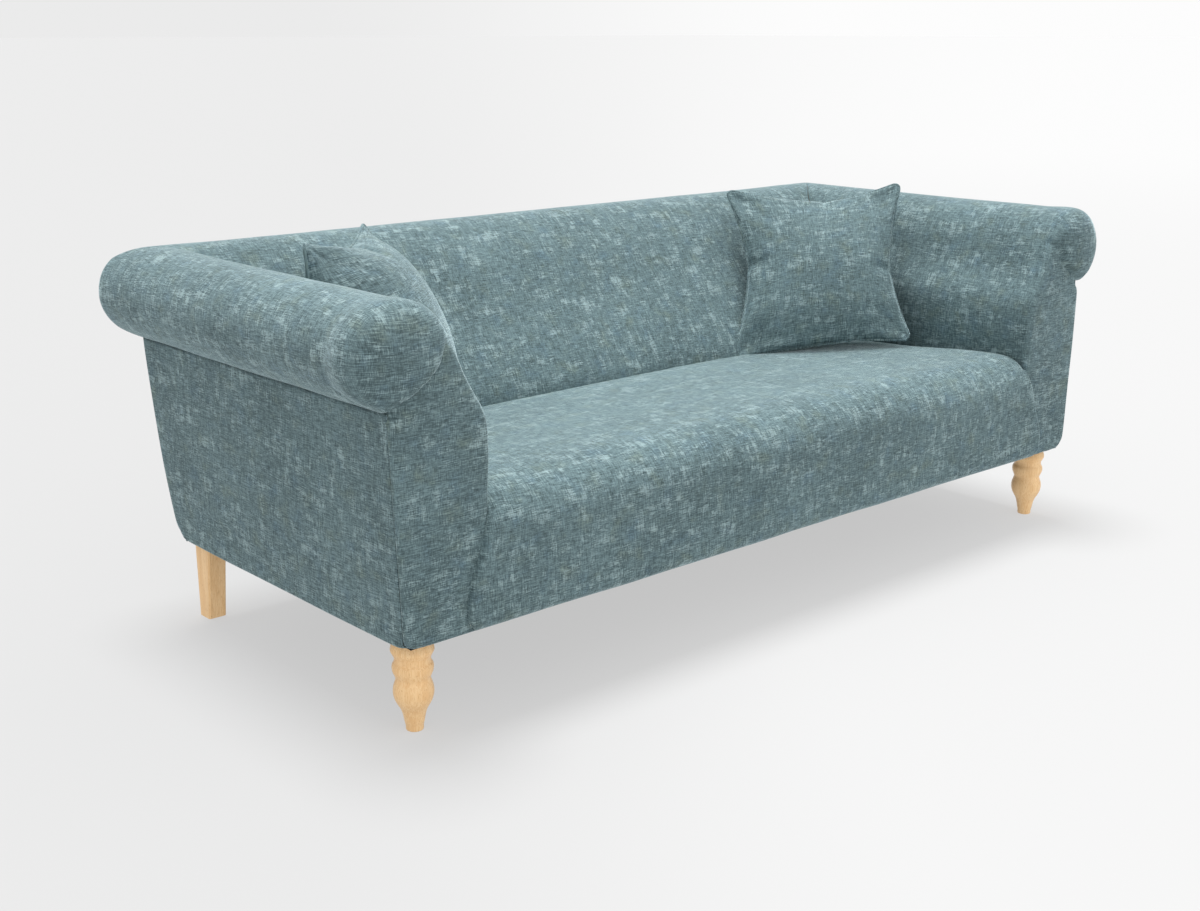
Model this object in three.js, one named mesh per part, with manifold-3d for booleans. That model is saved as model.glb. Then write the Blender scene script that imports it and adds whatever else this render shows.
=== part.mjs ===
// A three-seat roll arm sofa: a timber frame with zigzag springs, foam, fabric covers sewn in panels, turned
// front legs and square raked back legs, and two loose scatter cushions. Millimetres, +Z up, the front faces -Y,
// and the origin is on the floor at the middle of the sofa.
import * as THREE from 'three';
import { mergeVertices } from 'three/addons/utils/BufferGeometryUtils.js';
import Module from 'manifold-3d';

const wasm = await Module();
wasm.setup();

// Overall sizes
const overallWidth = 2186;
const overallDepth = 985;
const frameHeight = 788;
const legHeight = 180;
const armWidth = 264;
const backDepth = 400.5;
const rollRadius = 96;
const rollSteps = 16;
const rearCornerRadius = 60;
const rearCornerSteps = 6;

// Seat
const seatCrownZ = 445;
const seatRearDrop = 26;
const seatNose = 100;
const seatNoseSteps = 7;
const seatTuck = 26;
const seatTuckSteps = 3;
const seatEdgeDrop = 24;
const seatLap = 20;
const lapStep = 0.6;
const lapTopInset = 9;
const lapFlare = 67;
const lapTopDrop = 15;
const lapTopShares = [[0, 1], [0.45, 0.61], [1, 0.18], [0.97, 0.08], [0.67, 0.016], [0.5, 0]];
const seatTopShares = [[0, 0], [0.19, 0.08], [0.5, 0.42], [0.81, 0.73], [1, 1]];
const seatAcrossShares = [[0, 0], [0.35, 0.03], [0.7, 0.14], [0.9, 0.3], [0.965, 0.5], [0.99, 0.75], [1, 1]];

// Arms and back: the inside faces rise from the seat in a soft S to the rolls
const armCurveFootDrop = 10;
const backCurveFootDrop = 4;
const rollStartTurn = 165;
const armCurveShares = [[0, 0], [-0.05, 0.25], [0.09, 0.52], [0.4, 0.66], [0.68, 0.8], [0.92, 0.94]];
const backCurveShares = [[0, 0], [0.02, 0.05], [0.17, 0.25], [0.36, 0.45], [0.57, 0.65], [0.77, 0.8], [0.92, 0.93]];
const sidePanelFootOut = 21;
const sidePanelHeadOut = 38;
const rearPanelFootIn = 38.5;
const rearPanelHeadOut = 20.5;
const rearPanelShares = [[0, 0], [0.57, 0.41], [0.85, 0.72], [1, 1]];
const bottomCornerCut = 28;
const facingEdge = 10;
const facingTurns = [0, 30, 60, 90];
const rollDome = 12;
const rollDomeShares = [0.25, 0.5, 0.75, 0.93];

// Cloth, boards and gaps
const touch = 0.3;
const cover = 3.5;
const dustCloth = 1.2;
const overrun = 2;
const scrollBoard = 22;
const tuckAboveRail = 10.5;

// Timbers
const railThickness = 22;
const sideRailThickness = 25;
const lowRailHeight = 90;
const springRailHeight = 110;
const backPadding = 56;
const rollRailWidth = 90;
const rollRailHeight = 45;
const tackingRailWidth = 25;
const tackingRailHeight = 45;
const armPostWidth = 45;
const armPostDepth = 45;
const armPostAhead = 146.5;
const uprightWidth = 45;
const uprightDepth = 44;
const rakedPostWidth = 32;
const rakedPostDepth = 50;
const centreBraceWidth = 60;
const blockLeg = 90;
const blockHeight = 45;

// Springs and webbing
const springCount = 8;
const springSideRoom = 89;
const springWireRadius = 1.8;
const springSides = 4;
const springWaveWidth = 24;
const springBends = 14;
const springStepsInBend = 3;
const webbingWidth = 60;
const webbingThickness = 2;
const webbingShares = [0.2, 0.58, 0.97];

// Foam
const armFoam = 24;
const armFoamShoulder = 72;

// Legs, which stand under the corners, and their hanger bolts
const legFromSide = 55;
const frontLegFromFront = 58.5;
const frontLegRadius = 39.5;
const legSides = 20;
const legShares = [
  [0, 0], [0.41, 0], [0.415, 0.044], [0.466, 0.1], [0.516, 0.161], [0.618, 0.233], [0.76, 0.289],
  [0.87, 0.339], [0.937, 0.411], [0.92, 0.467], [0.835, 0.528], [0.795, 0.561], [0.86, 0.6], [0.942, 0.65],
  [0.937, 0.706], [0.845, 0.744], [0.84, 0.783], [0.937, 0.828], [1, 0.861], [0.972, 0.906], [0.911, 0.933],
  [0.911, 1], [0, 1],
];
const backLegFoot = { width: 40, depth: 41 };
const backLegHead = { width: 42, depth: 61 };
const backLegFromRear = 2.5;
const backLegEdge = 3;
const backBoltFromRear = 43.5;
const boltRadius = 4;
const boltSides = 8;
const boltInLeg = 45;
const boltInBlock = 32;
const boltRoom = 2;

// Scatter cushions, each in a corner of the seat. A place gives how far the middle of the cushion's rear face is
// from the arm and the back, how far its foot sinks below the crown of the seat, and its turn, lean and roll.
const cushionSize = 436;
const cushionDrawIn = 40;
const cushionFootDrawIn = 14;
const cushionFront = 84;
const cushionRear = 84;
const cushionEdge = 4;
const cushionCloth = 2.5;
const cushionCells = 12;
const cushionPower = 0.45;
const zipLength = 260;
const zipGap = 2;
const cushionPlaces = [
  { side: 'left', way: -1, fromArm: 77.7, fromBack: 12.5, sunk: 18.5, turns: [42.6, 26.7, 2.4] },
  { side: 'right', way: 1, fromArm: 136.1, fromBack: 3.7, sunk: 16.7, turns: [-41.2, 27.3, -2.8] },
];

// Places that follow from the sizes above
const armAxisX = overallWidth / 2 - rollRadius;
const backAxisY = overallDepth / 2 - rollRadius;
const rollAxisZ = frameHeight - rollRadius;
const seatFrontY = -overallDepth / 2;
const seatRearY = overallDepth / 2 - backDepth;
const seatRearZ = seatCrownZ - seatRearDrop;
const armFrontY = seatFrontY + seatLap;
const armInnerX = overallWidth / 2 - armWidth;
const armCurveFootZ = seatCrownZ - armCurveFootDrop;
const backCurveFootZ = seatRearZ - backCurveFootDrop;
const sidePanelFoot = armAxisX + sidePanelFootOut;
const sidePanelHead = armAxisX + sidePanelHeadOut;
const rearPanelFoot = backAxisY - rearPanelFootIn;
const rearPanelHead = backAxisY + rearPanelHeadOut;
const far = overallWidth;
const undersideZ = legHeight;
const dustTopZ = undersideZ + dustCloth;
const timberZ = dustTopZ + touch;
const springRailZ = timberZ + springRailHeight;
const tuckZ = springRailZ + tuckAboveRail;
const foamZ = springRailZ + 2 * (springWireRadius + touch);
const boardFrontY = armFrontY + cover + touch;
const frameFrontY = boardFrontY + scrollBoard + touch;
const sideRailX = sidePanelFoot - cover - touch;
const sideRailInnerX = sideRailX - sideRailThickness;
const backRailRearY = rearPanelFoot - cover - touch - touch;
const backRailFrontY = backRailRearY - railThickness;
const rearSeatRailY = seatRearY + backPadding;
const rollRailBottomZ = rollAxisZ - rollRailHeight / 2;
const rollRailTopZ = rollAxisZ + rollRailHeight / 2;

const finishes = {
  fabric: { color: 0x7c9aa0, roughness: 0.9, metalness: 0 },
  beech: { color: 0xedbd80, roughness: 0.45, metalness: 0 },
  timber: { color: 0xc8a670, roughness: 0.8, metalness: 0 },
  plywood: { color: 0xd2b583, roughness: 0.8, metalness: 0 },
  steel: { color: 0x8d9094, roughness: 0.4, metalness: 1 },
  foam: { color: 0xe9dfb8, roughness: 0.95, metalness: 0 },
  fibre: { color: 0xf0efea, roughness: 0.95, metalness: 0 },
  webbing: { color: 0x9a8a6c, roughness: 0.9, metalness: 0 },
  dustCloth: { color: 0x26282b, roughness: 0.95, metalness: 0 },
};

const sofa = new THREE.Group();

// Turning a closed triangle mesh into a solid that can be joined and cut, with its faces outward
function solidOf(geometry) {
  geometry.deleteAttribute('normal');
  geometry.deleteAttribute('uv');
  const merged = mergeVertices(geometry);
  const vertProperties = new Float32Array(merged.attributes.position.array);
  const triVerts = new Uint32Array(merged.index.array);
  const corner = [new THREE.Vector3(), new THREE.Vector3(), new THREE.Vector3()];
  let volume = 0;
  for (let i = 0; i < triVerts.length; i += 3) {
    corner.forEach((point, k) => point.fromArray(vertProperties, 3 * triVerts[i + k]));
    volume += corner[0].dot(corner[1].cross(corner[2]));
  }
  if (volume < 0) triVerts.reverse();
  return new wasm.Manifold(new wasm.Mesh({ numProp: 3, vertProperties, triVerts }));
}

function addNode(name, solid, finish, mirror = 1) {
  const mesh = solid.getMesh();
  const positions = new Float32Array(mesh.vertProperties);
  const index = new Uint32Array(mesh.triVerts);
  for (let i = 0; i < positions.length; i += 3) positions[i] *= mirror;
  if (mirror < 0) index.reverse();
  const geometry = new THREE.BufferGeometry();
  geometry.setAttribute('position', new THREE.BufferAttribute(positions, 3));
  geometry.setIndex(new THREE.BufferAttribute(index, 1));
  geometry.computeVertexNormals();
  const node = new THREE.Mesh(geometry, new THREE.MeshStandardMaterial(finishes[finish]));
  node.name = name;
  sofa.add(node);
  return node;
}

function box(x0, x1, y0, y1, z0, z1) {
  const geometry = new THREE.BoxGeometry(x1 - x0, y1 - y0, z1 - z0);
  geometry.translate((x0 + x1) / 2, (y0 + y1) / 2, (z0 + z1) / 2);
  return solidOf(geometry);
}

// An outline drawn on the two axes that are not named, pushed from one place to another along the named axis
function prism(axis, outline, from, to) {
  const shape = new THREE.Shape(outline.map(([u, v]) => new THREE.Vector2(u, v)));
  const geometry = new THREE.ExtrudeGeometry(shape, { depth: to - from, bevelEnabled: false, steps: 1 });
  if (axis === 'x') {
    const yzx = new THREE.Matrix4();
    yzx.makeBasis(new THREE.Vector3(0, 1, 0), new THREE.Vector3(0, 0, 1), new THREE.Vector3(1, 0, 0));
    geometry.applyMatrix4(yzx);
    geometry.translate(from, 0, 0);
  } else if (axis === 'y') {
    geometry.rotateX(Math.PI / 2);
    geometry.translate(0, to, 0);
  } else {
    geometry.translate(0, 0, from);
  }
  return solidOf(geometry);
}

// Rings of points with the same count, joined by side faces and closed by a face at each end
function loft(rings, capAxes) {
  const count = rings[0].length;
  const positions = rings.flat(2);
  const index = [];
  for (let r = 0; r + 1 < rings.length; r += 1) {
    for (let i = 0; i < count; i += 1) {
      const a = r * count + i;
      const b = r * count + (i + 1) % count;
      index.push(a, b, b + count, a, b + count, a + count);
    }
  }
  const flat = rings[0].map((p) => new THREE.Vector2(p[capAxes[0]], p[capAxes[1]]));
  const last = rings[rings.length - 1].map((p) => new THREE.Vector2(p[capAxes[0]], p[capAxes[1]]));
  const lastStart = (rings.length - 1) * count;
  const clockwise = THREE.ShapeUtils.isClockWise(flat);
  for (const [a, b, c] of THREE.ShapeUtils.triangulateShape(flat, [])) {
    index.push(...(clockwise ? [a, b, c] : [a, c, b]));
  }
  for (const [a, b, c] of THREE.ShapeUtils.triangulateShape(last, [])) {
    const face = clockwise ? [a, c, b] : [a, b, c];
    index.push(...face.map((k) => k + lastStart));
  }
  const geometry = new THREE.BufferGeometry();
  geometry.setAttribute('position', new THREE.Float32BufferAttribute(positions, 3));
  geometry.setIndex(index);
  return solidOf(geometry);
}

// A curve moved sideways by a distance, to the right of the way it runs
function parallel(points, distance, closed = false) {
  const count = points.length;
  return points.map(([u, v], i) => {
    const before = closed ? points[(i + count - 1) % count] : points[Math.max(i - 1, 0)];
    const after = closed ? points[(i + 1) % count] : points[Math.min(i + 1, count - 1)];
    const first = new THREE.Vector2(v - before[1], before[0] - u);
    const second = new THREE.Vector2(after[1] - v, u - after[0]);
    if (first.lengthSq() === 0) first.copy(second);
    if (second.lengthSq() === 0) second.copy(first);
    first.normalize();
    second.normalize();
    const middle = first.clone().add(second).normalize();
    const reach = distance / middle.dot(first);
    return [u + middle.x * reach, v + middle.y * reach];
  });
}

function arc(centre, radius, fromTurn, toTurn, steps) {
  return Array.from({ length: steps + 1 }, (_, i) => {
    const turn = THREE.MathUtils.degToRad(fromTurn + (toTurn - fromTurn) * i / steps);
    return [centre[0] + radius * Math.cos(turn), centre[1] + radius * Math.sin(turn)];
  });
}

// Where a rising curve stands at a height
function across(curve, z) {
  if (z <= curve[0][1]) return curve[0][0];
  const next = curve.findIndex((point) => point[1] >= z);
  const [u0, z0] = curve[next - 1];
  const [u1, z1] = curve[next];
  return u0 + (u1 - u0) * (z - z0) / (z1 - z0);
}

// The inside faces, from the foot of the S to where the roll starts, and the whole curves over the rolls
const rollStart = THREE.MathUtils.degToRad(rollStartTurn);

function risingCurve(footU, footZ, axisU, shares) {
  const sweep = axisU + rollRadius * Math.cos(rollStart) - footU;
  const rise = rollAxisZ + rollRadius * Math.sin(rollStart) - footZ;
  const points = shares.map(([u, z]) => [footU + sweep * u, footZ + rise * z]);
  return [...points, [footU + sweep, footZ + rise]];
}

const armRise = risingCurve(armInnerX, armCurveFootZ, armAxisX, armCurveShares);
const backRise = risingCurve(seatRearY, backCurveFootZ, backAxisY, backCurveShares);

function overRoll(rise, axisU, endU) {
  const endTurn = -THREE.MathUtils.radToDeg(Math.acos((endU - axisU) / rollRadius));
  const roll = arc([axisU, rollAxisZ], rollRadius, rollStartTurn, endTurn, rollSteps);
  return [[rise[0][0], tuckZ], ...rise, ...roll.slice(1)];
}

const armCurve = overRoll(armRise, armAxisX, sidePanelHead);
const backCurve = overRoll(backRise, backAxisY, rearPanelHead);
const sidePanelHeadZ = armCurve[armCurve.length - 1][1];
const rearPanelHeadZ = backCurve[backCurve.length - 1][1];
const armSection = [
  [armInnerX, undersideZ],
  ...armCurve.slice(1),
  [sidePanelFoot, undersideZ],
];

// The room on the arm's side of a corner: its wall runs from the inside corner to the roll's centre and then out
// through the mitre, and it is moved toward the arm by the shift
function armSide(shift) {
  const heights = [0, ...armRise.map((p) => p[1]), ...backRise.map((p) => p[1])];
  const levels = [...new Set(heights)].sort((a, b) => a - b);
  levels.push(far);
  const last = rollAxisZ + rollRadius * Math.sin(rollStart);
  const rings = levels.map((z) => {
    const level = Math.min(z, last);
    const way = new THREE.Vector2(across(armRise, level) - armAxisX, across(backRise, level) - backAxisY);
    way.normalize().multiplyScalar(armInnerX / 2);
    const middle = [armAxisX + shift, backAxisY - shift];
    const inner = [middle[0] + way.x, middle[1] + way.y];
    const outer = [middle[0] + overallDepth, middle[1] + overallDepth];
    const plan = [inner, [inner[0], -overallDepth], [outer[0], -overallDepth], outer, middle];
    return plan.map(([x, y]) => [x, y, z]);
  });
  return loft(rings, [0, 1]);
}

const mitreRoom = armSide(touch);
const backMitreRoom = armSide(-touch);

function mirrored(solid) {
  const mesh = solid.getMesh();
  const vertProperties = new Float32Array(mesh.vertProperties);
  const triVerts = new Uint32Array(mesh.triVerts).reverse();
  for (let i = 0; i < vertProperties.length; i += 3) vertProperties[i] *= -1;
  return new wasm.Manifold(new wasm.Mesh({ numProp: 3, vertProperties, triVerts }));
}

function betweenMitres(solid) {
  return solid.subtract(backMitreRoom).subtract(mirrored(backMitreRoom));
}

// The plan of the sofa with its two rear corners rounded, as a block that the rolls are cut with
function roundedPlan(inset) {
  const halfWidth = overallWidth / 2 - inset;
  const rearY = overallDepth / 2 - inset;
  const radius = rearCornerRadius - inset;
  const corner = arc([halfWidth - radius, rearY - radius], radius, 0, 90, rearCornerSteps);
  const half = [[halfWidth, -far], ...corner];
  return prism('z', [...half, ...half.map(([x, y]) => [-x, y]).reverse()], 0, far);
}

const outerPlan = roundedPlan(0);
const liningPlan = roundedPlan(cover);
const foamPlan = roundedPlan(cover + touch);

// The four bottom corners are clipped. A corner's room is the wedge that is cut away, deeper for what lies inside.
function cornerRoom(inset) {
  const spare = 6 * overrun;
  const reach = bottomCornerCut + Math.sqrt(3) * inset + 3 * spare;
  const x = sidePanelFoot + spare;
  const z = undersideZ - spare;
  const wedges = [[armFrontY - spare, reach], [rearPanelFoot + spare, -reach]].map(([y, along]) => {
    const corner = [x, y, z, x - reach, y, z, x, y + along, z, x, y, z + reach];
    const geometry = new THREE.BufferGeometry();
    geometry.setAttribute('position', new THREE.Float32BufferAttribute(corner, 3));
    geometry.setIndex([0, 1, 2, 0, 2, 3, 0, 3, 1, 1, 3, 2]);
    return solidOf(geometry);
  });
  return wedges.flatMap((wedge) => [wedge, mirrored(wedge)]).reduce((all, wedge) => all.add(wedge));
}

const coverCorners = cornerRoom(0);
const liningCorners = cornerRoom(cover);
const timberCorners = cornerRoom(cover + touch);

// Arm cover: the inside face, the roll and the padded front facing, one sewn piece, tucked in below the seat
function armBlock(inset, y) {
  const depths = facingTurns.map((turn) => {
    const angle = THREE.MathUtils.degToRad(turn);
    return [facingEdge * (1 - Math.cos(angle)), facingEdge * (1 - Math.sin(angle))];
  });
  const rings = [...depths, [far, 0]].map(([depth, edge]) => {
    const outline = parallel(armSection, inset + edge, true);
    return outline.map(([x, z]) => [x, y + depth, z]);
  });
  return loft(rings, [0, 2]);
}

function rollFront() {
  const rings = rollDomeShares.map((share) => {
    const depth = rollDome * (1 - Math.sqrt(1 - share * share));
    const ring = arc([armAxisX, rollAxisZ], rollRadius * share, 0, 360, rollSteps);
    return ring.slice(1).map(([x, z]) => [x, armFrontY - rollDome + depth, z]);
  });
  const seat = rings[rings.length - 1].map(([x, , z]) => [x, armFrontY + cover / 2, z]);
  return loft([...rings, seat], [0, 2]);
}

const behindFacing = armFrontY + cover + touch;
const panelRoom = prism('y', [
  [sidePanelFoot - cover - touch, undersideZ - overrun],
  [far, undersideZ - overrun],
  [far, sidePanelHeadZ],
  [sidePanelHead - cover - touch, sidePanelHeadZ],
], behindFacing, far);
const railRoom = box(armInnerX - overrun, far, behindFacing, far, undersideZ - overrun, tuckZ);
const armCover = armBlock(0, armFrontY)
  .intersect(outerPlan)
  .subtract(coverCorners)
  .subtract(armBlock(cover, armFrontY + cover).intersect(liningPlan).subtract(liningCorners))
  .add(rollFront())
  .subtract(panelRoom)
  .subtract(railRoom)
  .intersect(mitreRoom);

// Outside panels of the arms, stretched from the roll to the underside
const rearRise = rearPanelShares.map(([y, z]) => [
  rearPanelFoot + (rearPanelHead - rearPanelFoot) * y,
  undersideZ + (rearPanelHeadZ - undersideZ) * z,
]);
const sidePanelTopZ = sidePanelHeadZ - touch;
const aheadOfRear = prism('x', [
  [seatFrontY, undersideZ - overrun],
  [rearRise[0][0], undersideZ - overrun],
  ...rearRise,
  [seatFrontY, rearPanelHeadZ],
], 0, far);
const sidePanelReach = sidePanelFoot - bottomCornerCut - 2 * cover;
const sideBlock = prism('y', [
  [sidePanelReach, undersideZ],
  [sidePanelFoot, undersideZ],
  [sidePanelHead, sidePanelTopZ],
  [sidePanelReach, sidePanelTopZ],
], behindFacing, far);
const sideLining = prism('y', [
  [0, undersideZ - overrun],
  [sidePanelFoot - cover, undersideZ - overrun],
  [sidePanelFoot - cover, undersideZ],
  [sidePanelHead - cover, sidePanelTopZ],
  [sidePanelHead - cover, sidePanelTopZ + overrun],
  [0, sidePanelTopZ + overrun],
], -far, far);
const sidePanel = sideBlock
  .subtract(coverCorners)
  .subtract(sideLining.subtract(liningCorners))
  .intersect(aheadOfRear);

for (const [side, mirror] of [['left', -1], ['right', 1]]) {
  addNode(`${side}_arm_cover`, armCover, 'fabric', mirror);
  addNode(`${side}_outside_arm_panel`, sidePanel, 'fabric', mirror);
}

// Inside back cover with the back roll, mitred to the arm rolls, and the outside back panel
const backLining = parallel(backCurve, cover);
const backOuter = prism('x', [...backCurve, [rearPanelHead, tuckZ]], -far, far).intersect(outerPlan);
const backInner = prism('x', [
  [backLining[0][0], tuckZ - overrun],
  ...backLining.slice(1),
  [rearPanelHead, rearPanelHeadZ],
  [far, rearPanelHeadZ],
  [far, tuckZ - overrun],
], -far, far).intersect(liningPlan);
addNode('inside_back_cover', betweenMitres(backOuter.subtract(backInner)), 'fabric');

const rearTopZ = rearPanelHeadZ - touch;
const rearTop = [across(rearRise, rearTopZ), rearTopZ];
const rearPath = [...rearRise.slice(0, -1), rearTop];
const rearBand = [...rearPath, ...parallel(rearPath, -cover).reverse()];
const betweenSides = prism('y', [
  [-(sidePanelFoot - cover - touch), undersideZ],
  [sidePanelFoot - cover - touch, undersideZ],
  [sidePanelHead - cover - touch, sidePanelTopZ],
  [-(sidePanelHead - cover - touch), sidePanelTopZ],
], 0, far);
const backPanel = prism('x', rearBand, -far, far).intersect(betweenSides).subtract(timberCorners);
addNode('outside_back_panel', backPanel, 'fabric');

// Seat: one cover over the sprung seat and down the front, where its sides flare and lap over the arm fronts
const frontFoot = [seatFrontY + seatTuck / 2, undersideZ];
const seatPath = [
  frontFoot,
  ...arc([seatFrontY + seatTuck, undersideZ + seatTuck], seatTuck, 225, 180, seatTuckSteps),
  ...arc([seatFrontY + seatNose, seatCrownZ - seatNose], seatNose, 180, 90, seatNoseSteps),
  ...seatTopShares.slice(1).map(([along, drop]) => [
    seatFrontY + seatNose + (seatRearY - touch - seatFrontY - seatNose) * along,
    seatCrownZ - (seatCrownZ - seatRearZ) * drop,
  ]),
];

function seatSection(inset, spare) {
  const path = inset > 0 ? parallel(seatPath, inset) : seatPath;
  const last = path[path.length - 1];
  const foot = undersideZ - spare;
  return [[path[0][0], foot], ...path.slice(1), [seatRearY - touch + spare, last[1]], [seatRearY - touch + spare, foot]];
}

function seatBlock(inset, spare) {
  const half = armInnerX - touch - inset;
  const outline = seatSection(inset, spare);
  const rightward = seatAcrossShares.map(([x, drop]) => [half * x, seatEdgeDrop * drop]);
  const leftward = rightward.slice(1).reverse().map(([x, drop]) => [-x, drop]);
  const main = loft([...leftward, ...rightward].map(([x, drop]) => outline.map(([y, z]) => {
    const lift = THREE.MathUtils.clamp((z - tuckZ) / (seatCrownZ - tuckZ), 0, 1);
    return [x, y, z - drop * lift];
  })), [1, 2]);
  const halfLap = lapTopShares.map(([x, z]) => [
    armInnerX - lapTopInset + lapFlare * x - inset,
    undersideZ + (seatCrownZ - lapTopDrop - undersideZ) * z + (z > 0 ? -inset : lapStep - spare),
  ]);
  const lapOutline = [...halfLap, ...halfLap.map(([x, z]) => [-x, z]).reverse()];
  const lapDepth = prism('x', seatSection(inset + lapStep, spare), -far, far);
  const lap = prism('y', lapOutline, -far, armFrontY - touch + spare).intersect(lapDepth);
  return main.add(lap);
}

const seatRailRoom = box(-far, far, armFrontY - touch + lapStep, far, undersideZ - overrun, tuckZ);
const seatCover = seatBlock(0, 0).subtract(seatBlock(cover, overrun)).subtract(seatRailRoom);
addNode('seat_cover', seatCover, 'fabric');

const seatFoam = seatBlock(cover + touch, 0)
  .subtract(box(-far, far, frameFrontY - touch, far, 0, foamZ))
  .subtract(box(-far, far, -far, far, 0, undersideZ + cover))
  .subtract(box(-far, far, seatRearY - cover, far, 0, far));
addNode('seat_foam', seatFoam, 'foam');

// Arm foam: it lines the inside face and fills the roll round its rail
const foamCurve = parallel(armCurve, cover + touch);
const foamInnerX = armInnerX + cover + armFoam;
const railLeftX = armAxisX - rollRailWidth / 2 - touch;
const railRightX = armAxisX + rollRailWidth / 2 + touch;
const foamEnd = foamCurve[foamCurve.length - 1];
const armFoamOutline = [
  [foamCurve[0][0], tuckZ + touch],
  ...foamCurve.slice(1, -1),
  [sidePanelHead - cover - touch, foamEnd[1] + cover],
  [sidePanelHead - cover - touch, rollRailBottomZ - touch],
  [railRightX, rollRailBottomZ - touch],
  [railRightX, rollRailTopZ + touch],
  [railLeftX, rollRailTopZ + touch],
  [railLeftX, rollRailBottomZ - touch],
  [foamInnerX, armCurveFootZ + armFoamShoulder],
  [foamInnerX, tuckZ + touch],
];
const armPad = prism('y', armFoamOutline, frameFrontY, far).intersect(armSide(cover + touch)).intersect(foamPlan);

// Back foam: thick below, over webbing on the raked posts, and round the back roll's rail
const backFoamCurve = parallel(backCurve, cover + touch);
const backRailLeftY = backAxisY - rollRailWidth / 2;
const backRailRightY = backAxisY + rollRailWidth / 2;
const rakedHeadY = backRailLeftY + touch;
const rakedHeadZ = rollRailBottomZ - touch;
const rake = [[rearSeatRailY, backCurveFootZ], [rakedHeadY, rakedHeadZ]];
const strapRoom = webbingThickness + 2 * touch;
const [rakeLow, rakeHigh] = parallel(rake, -strapRoom);
const uprightRearY = across(rearRise, rearPanelHeadZ) - cover - touch;
const backFoamEnd = backFoamCurve[backFoamCurve.length - 1];
const backFoamOutline = [
  [backFoamCurve[0][0], tuckZ + touch],
  ...backFoamCurve.slice(1, -1),
  [rearPanelHead + touch, backFoamEnd[1] + cover],
  [rearPanelHead + touch, rollRailBottomZ - touch],
  [backRailRightY + touch, rollRailBottomZ - touch],
  [backRailRightY + touch, rollRailTopZ + touch],
  [backRailLeftY - touch, rollRailTopZ + touch],
  [backRailLeftY - touch, rakeHigh[1]],
  rakeHigh,
  rakeLow,
  [rearSeatRailY - strapRoom, backCurveFootZ],
  [rearSeatRailY - strapRoom, tuckZ + touch],
];
const backPadRoom = armSide(-(cover + touch));
const backPad = prism('x', backFoamOutline, -far, far)
  .intersect(foamPlan)
  .subtract(backPadRoom)
  .subtract(mirrored(backPadRoom));
addNode('back_foam', backPad, 'foam');

// Arm frames: a plywood scroll board in front, a roll rail along the top, a tacking rail at the seat and a post
const boardInset = cover + touch + facingEdge;
const scroll = prism('y', parallel(armSection, boardInset, true), boardFrontY, boardFrontY + scrollBoard)
  .subtract(timberCorners);
const rollRail = box(
  armAxisX - rollRailWidth / 2, armAxisX + rollRailWidth / 2,
  frameFrontY, backRailLeftY - touch,
  rollRailBottomZ, rollRailTopZ,
);
const tackingX = foamInnerX + touch;
const tackingRail = box(
  tackingX, tackingX + tackingRailWidth,
  frameFrontY, rearSeatRailY - touch,
  tuckZ, tuckZ + tackingRailHeight,
);
const armPostY = backAxisY - armPostAhead;
const armPost = box(
  sideRailX - armPostWidth, sideRailX,
  armPostY, armPostY + armPostDepth,
  timberZ + lowRailHeight + touch, rollRailBottomZ - touch,
);
const sideRail = box(
  sideRailInnerX, sideRailX,
  frameFrontY, backRailFrontY - touch,
  timberZ, timberZ + lowRailHeight,
).subtract(timberCorners);
for (const [side, mirror] of [['left', -1], ['right', 1]]) {
  addNode(`${side}_arm_foam`, armPad, 'foam', mirror);
  addNode(`${side}_scroll_board`, scroll, 'plywood', mirror);
  addNode(`${side}_arm_roll_rail`, rollRail, 'timber', mirror);
  addNode(`${side}_arm_tacking_rail`, tackingRail, 'timber', mirror);
  addNode(`${side}_arm_post`, armPost, 'timber', mirror);
  addNode(`${side}_side_rail`, sideRail, 'timber', mirror);
}

// Seat frame: front, rear seat and back rails, with a brace down the middle
const railHalf = sideRailInnerX - touch;
const frontRail = box(-railHalf, railHalf, frameFrontY, frameFrontY + railThickness, timberZ, springRailZ);
const rearSeatRailRearY = rearSeatRailY + railThickness;
const rearSeatRailZ = timberZ + blockHeight + touch;
const rearSeatRail = box(-railHalf, railHalf, rearSeatRailY, rearSeatRailRearY, rearSeatRailZ, springRailZ);
const backRailTopZ = timberZ + lowRailHeight;
const backRail = box(-sideRailX, sideRailX, backRailFrontY, backRailRearY, timberZ, backRailTopZ)
  .subtract(timberCorners);
const centreBrace = box(
  -centreBraceWidth / 2, centreBraceWidth / 2,
  frameFrontY + railThickness + touch, backRailFrontY - touch,
  timberZ, rearSeatRailZ - touch,
);
addNode('front_rail', frontRail, 'timber');
addNode('rear_seat_rail', rearSeatRail, 'timber');
addNode('back_bottom_rail', backRail, 'timber');
addNode('centre_brace', centreBrace, 'timber');

// Back frame: rear uprights under the back roll rail, and raked posts that carry the webbing and the foam
const backRollRail = box(
  -(armAxisX + rollRailWidth / 2), armAxisX + rollRailWidth / 2,
  backRailLeftY, backRailRightY,
  rollRailBottomZ, rollRailTopZ,
);
addNode('back_roll_rail', backRollRail, 'timber');

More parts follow.
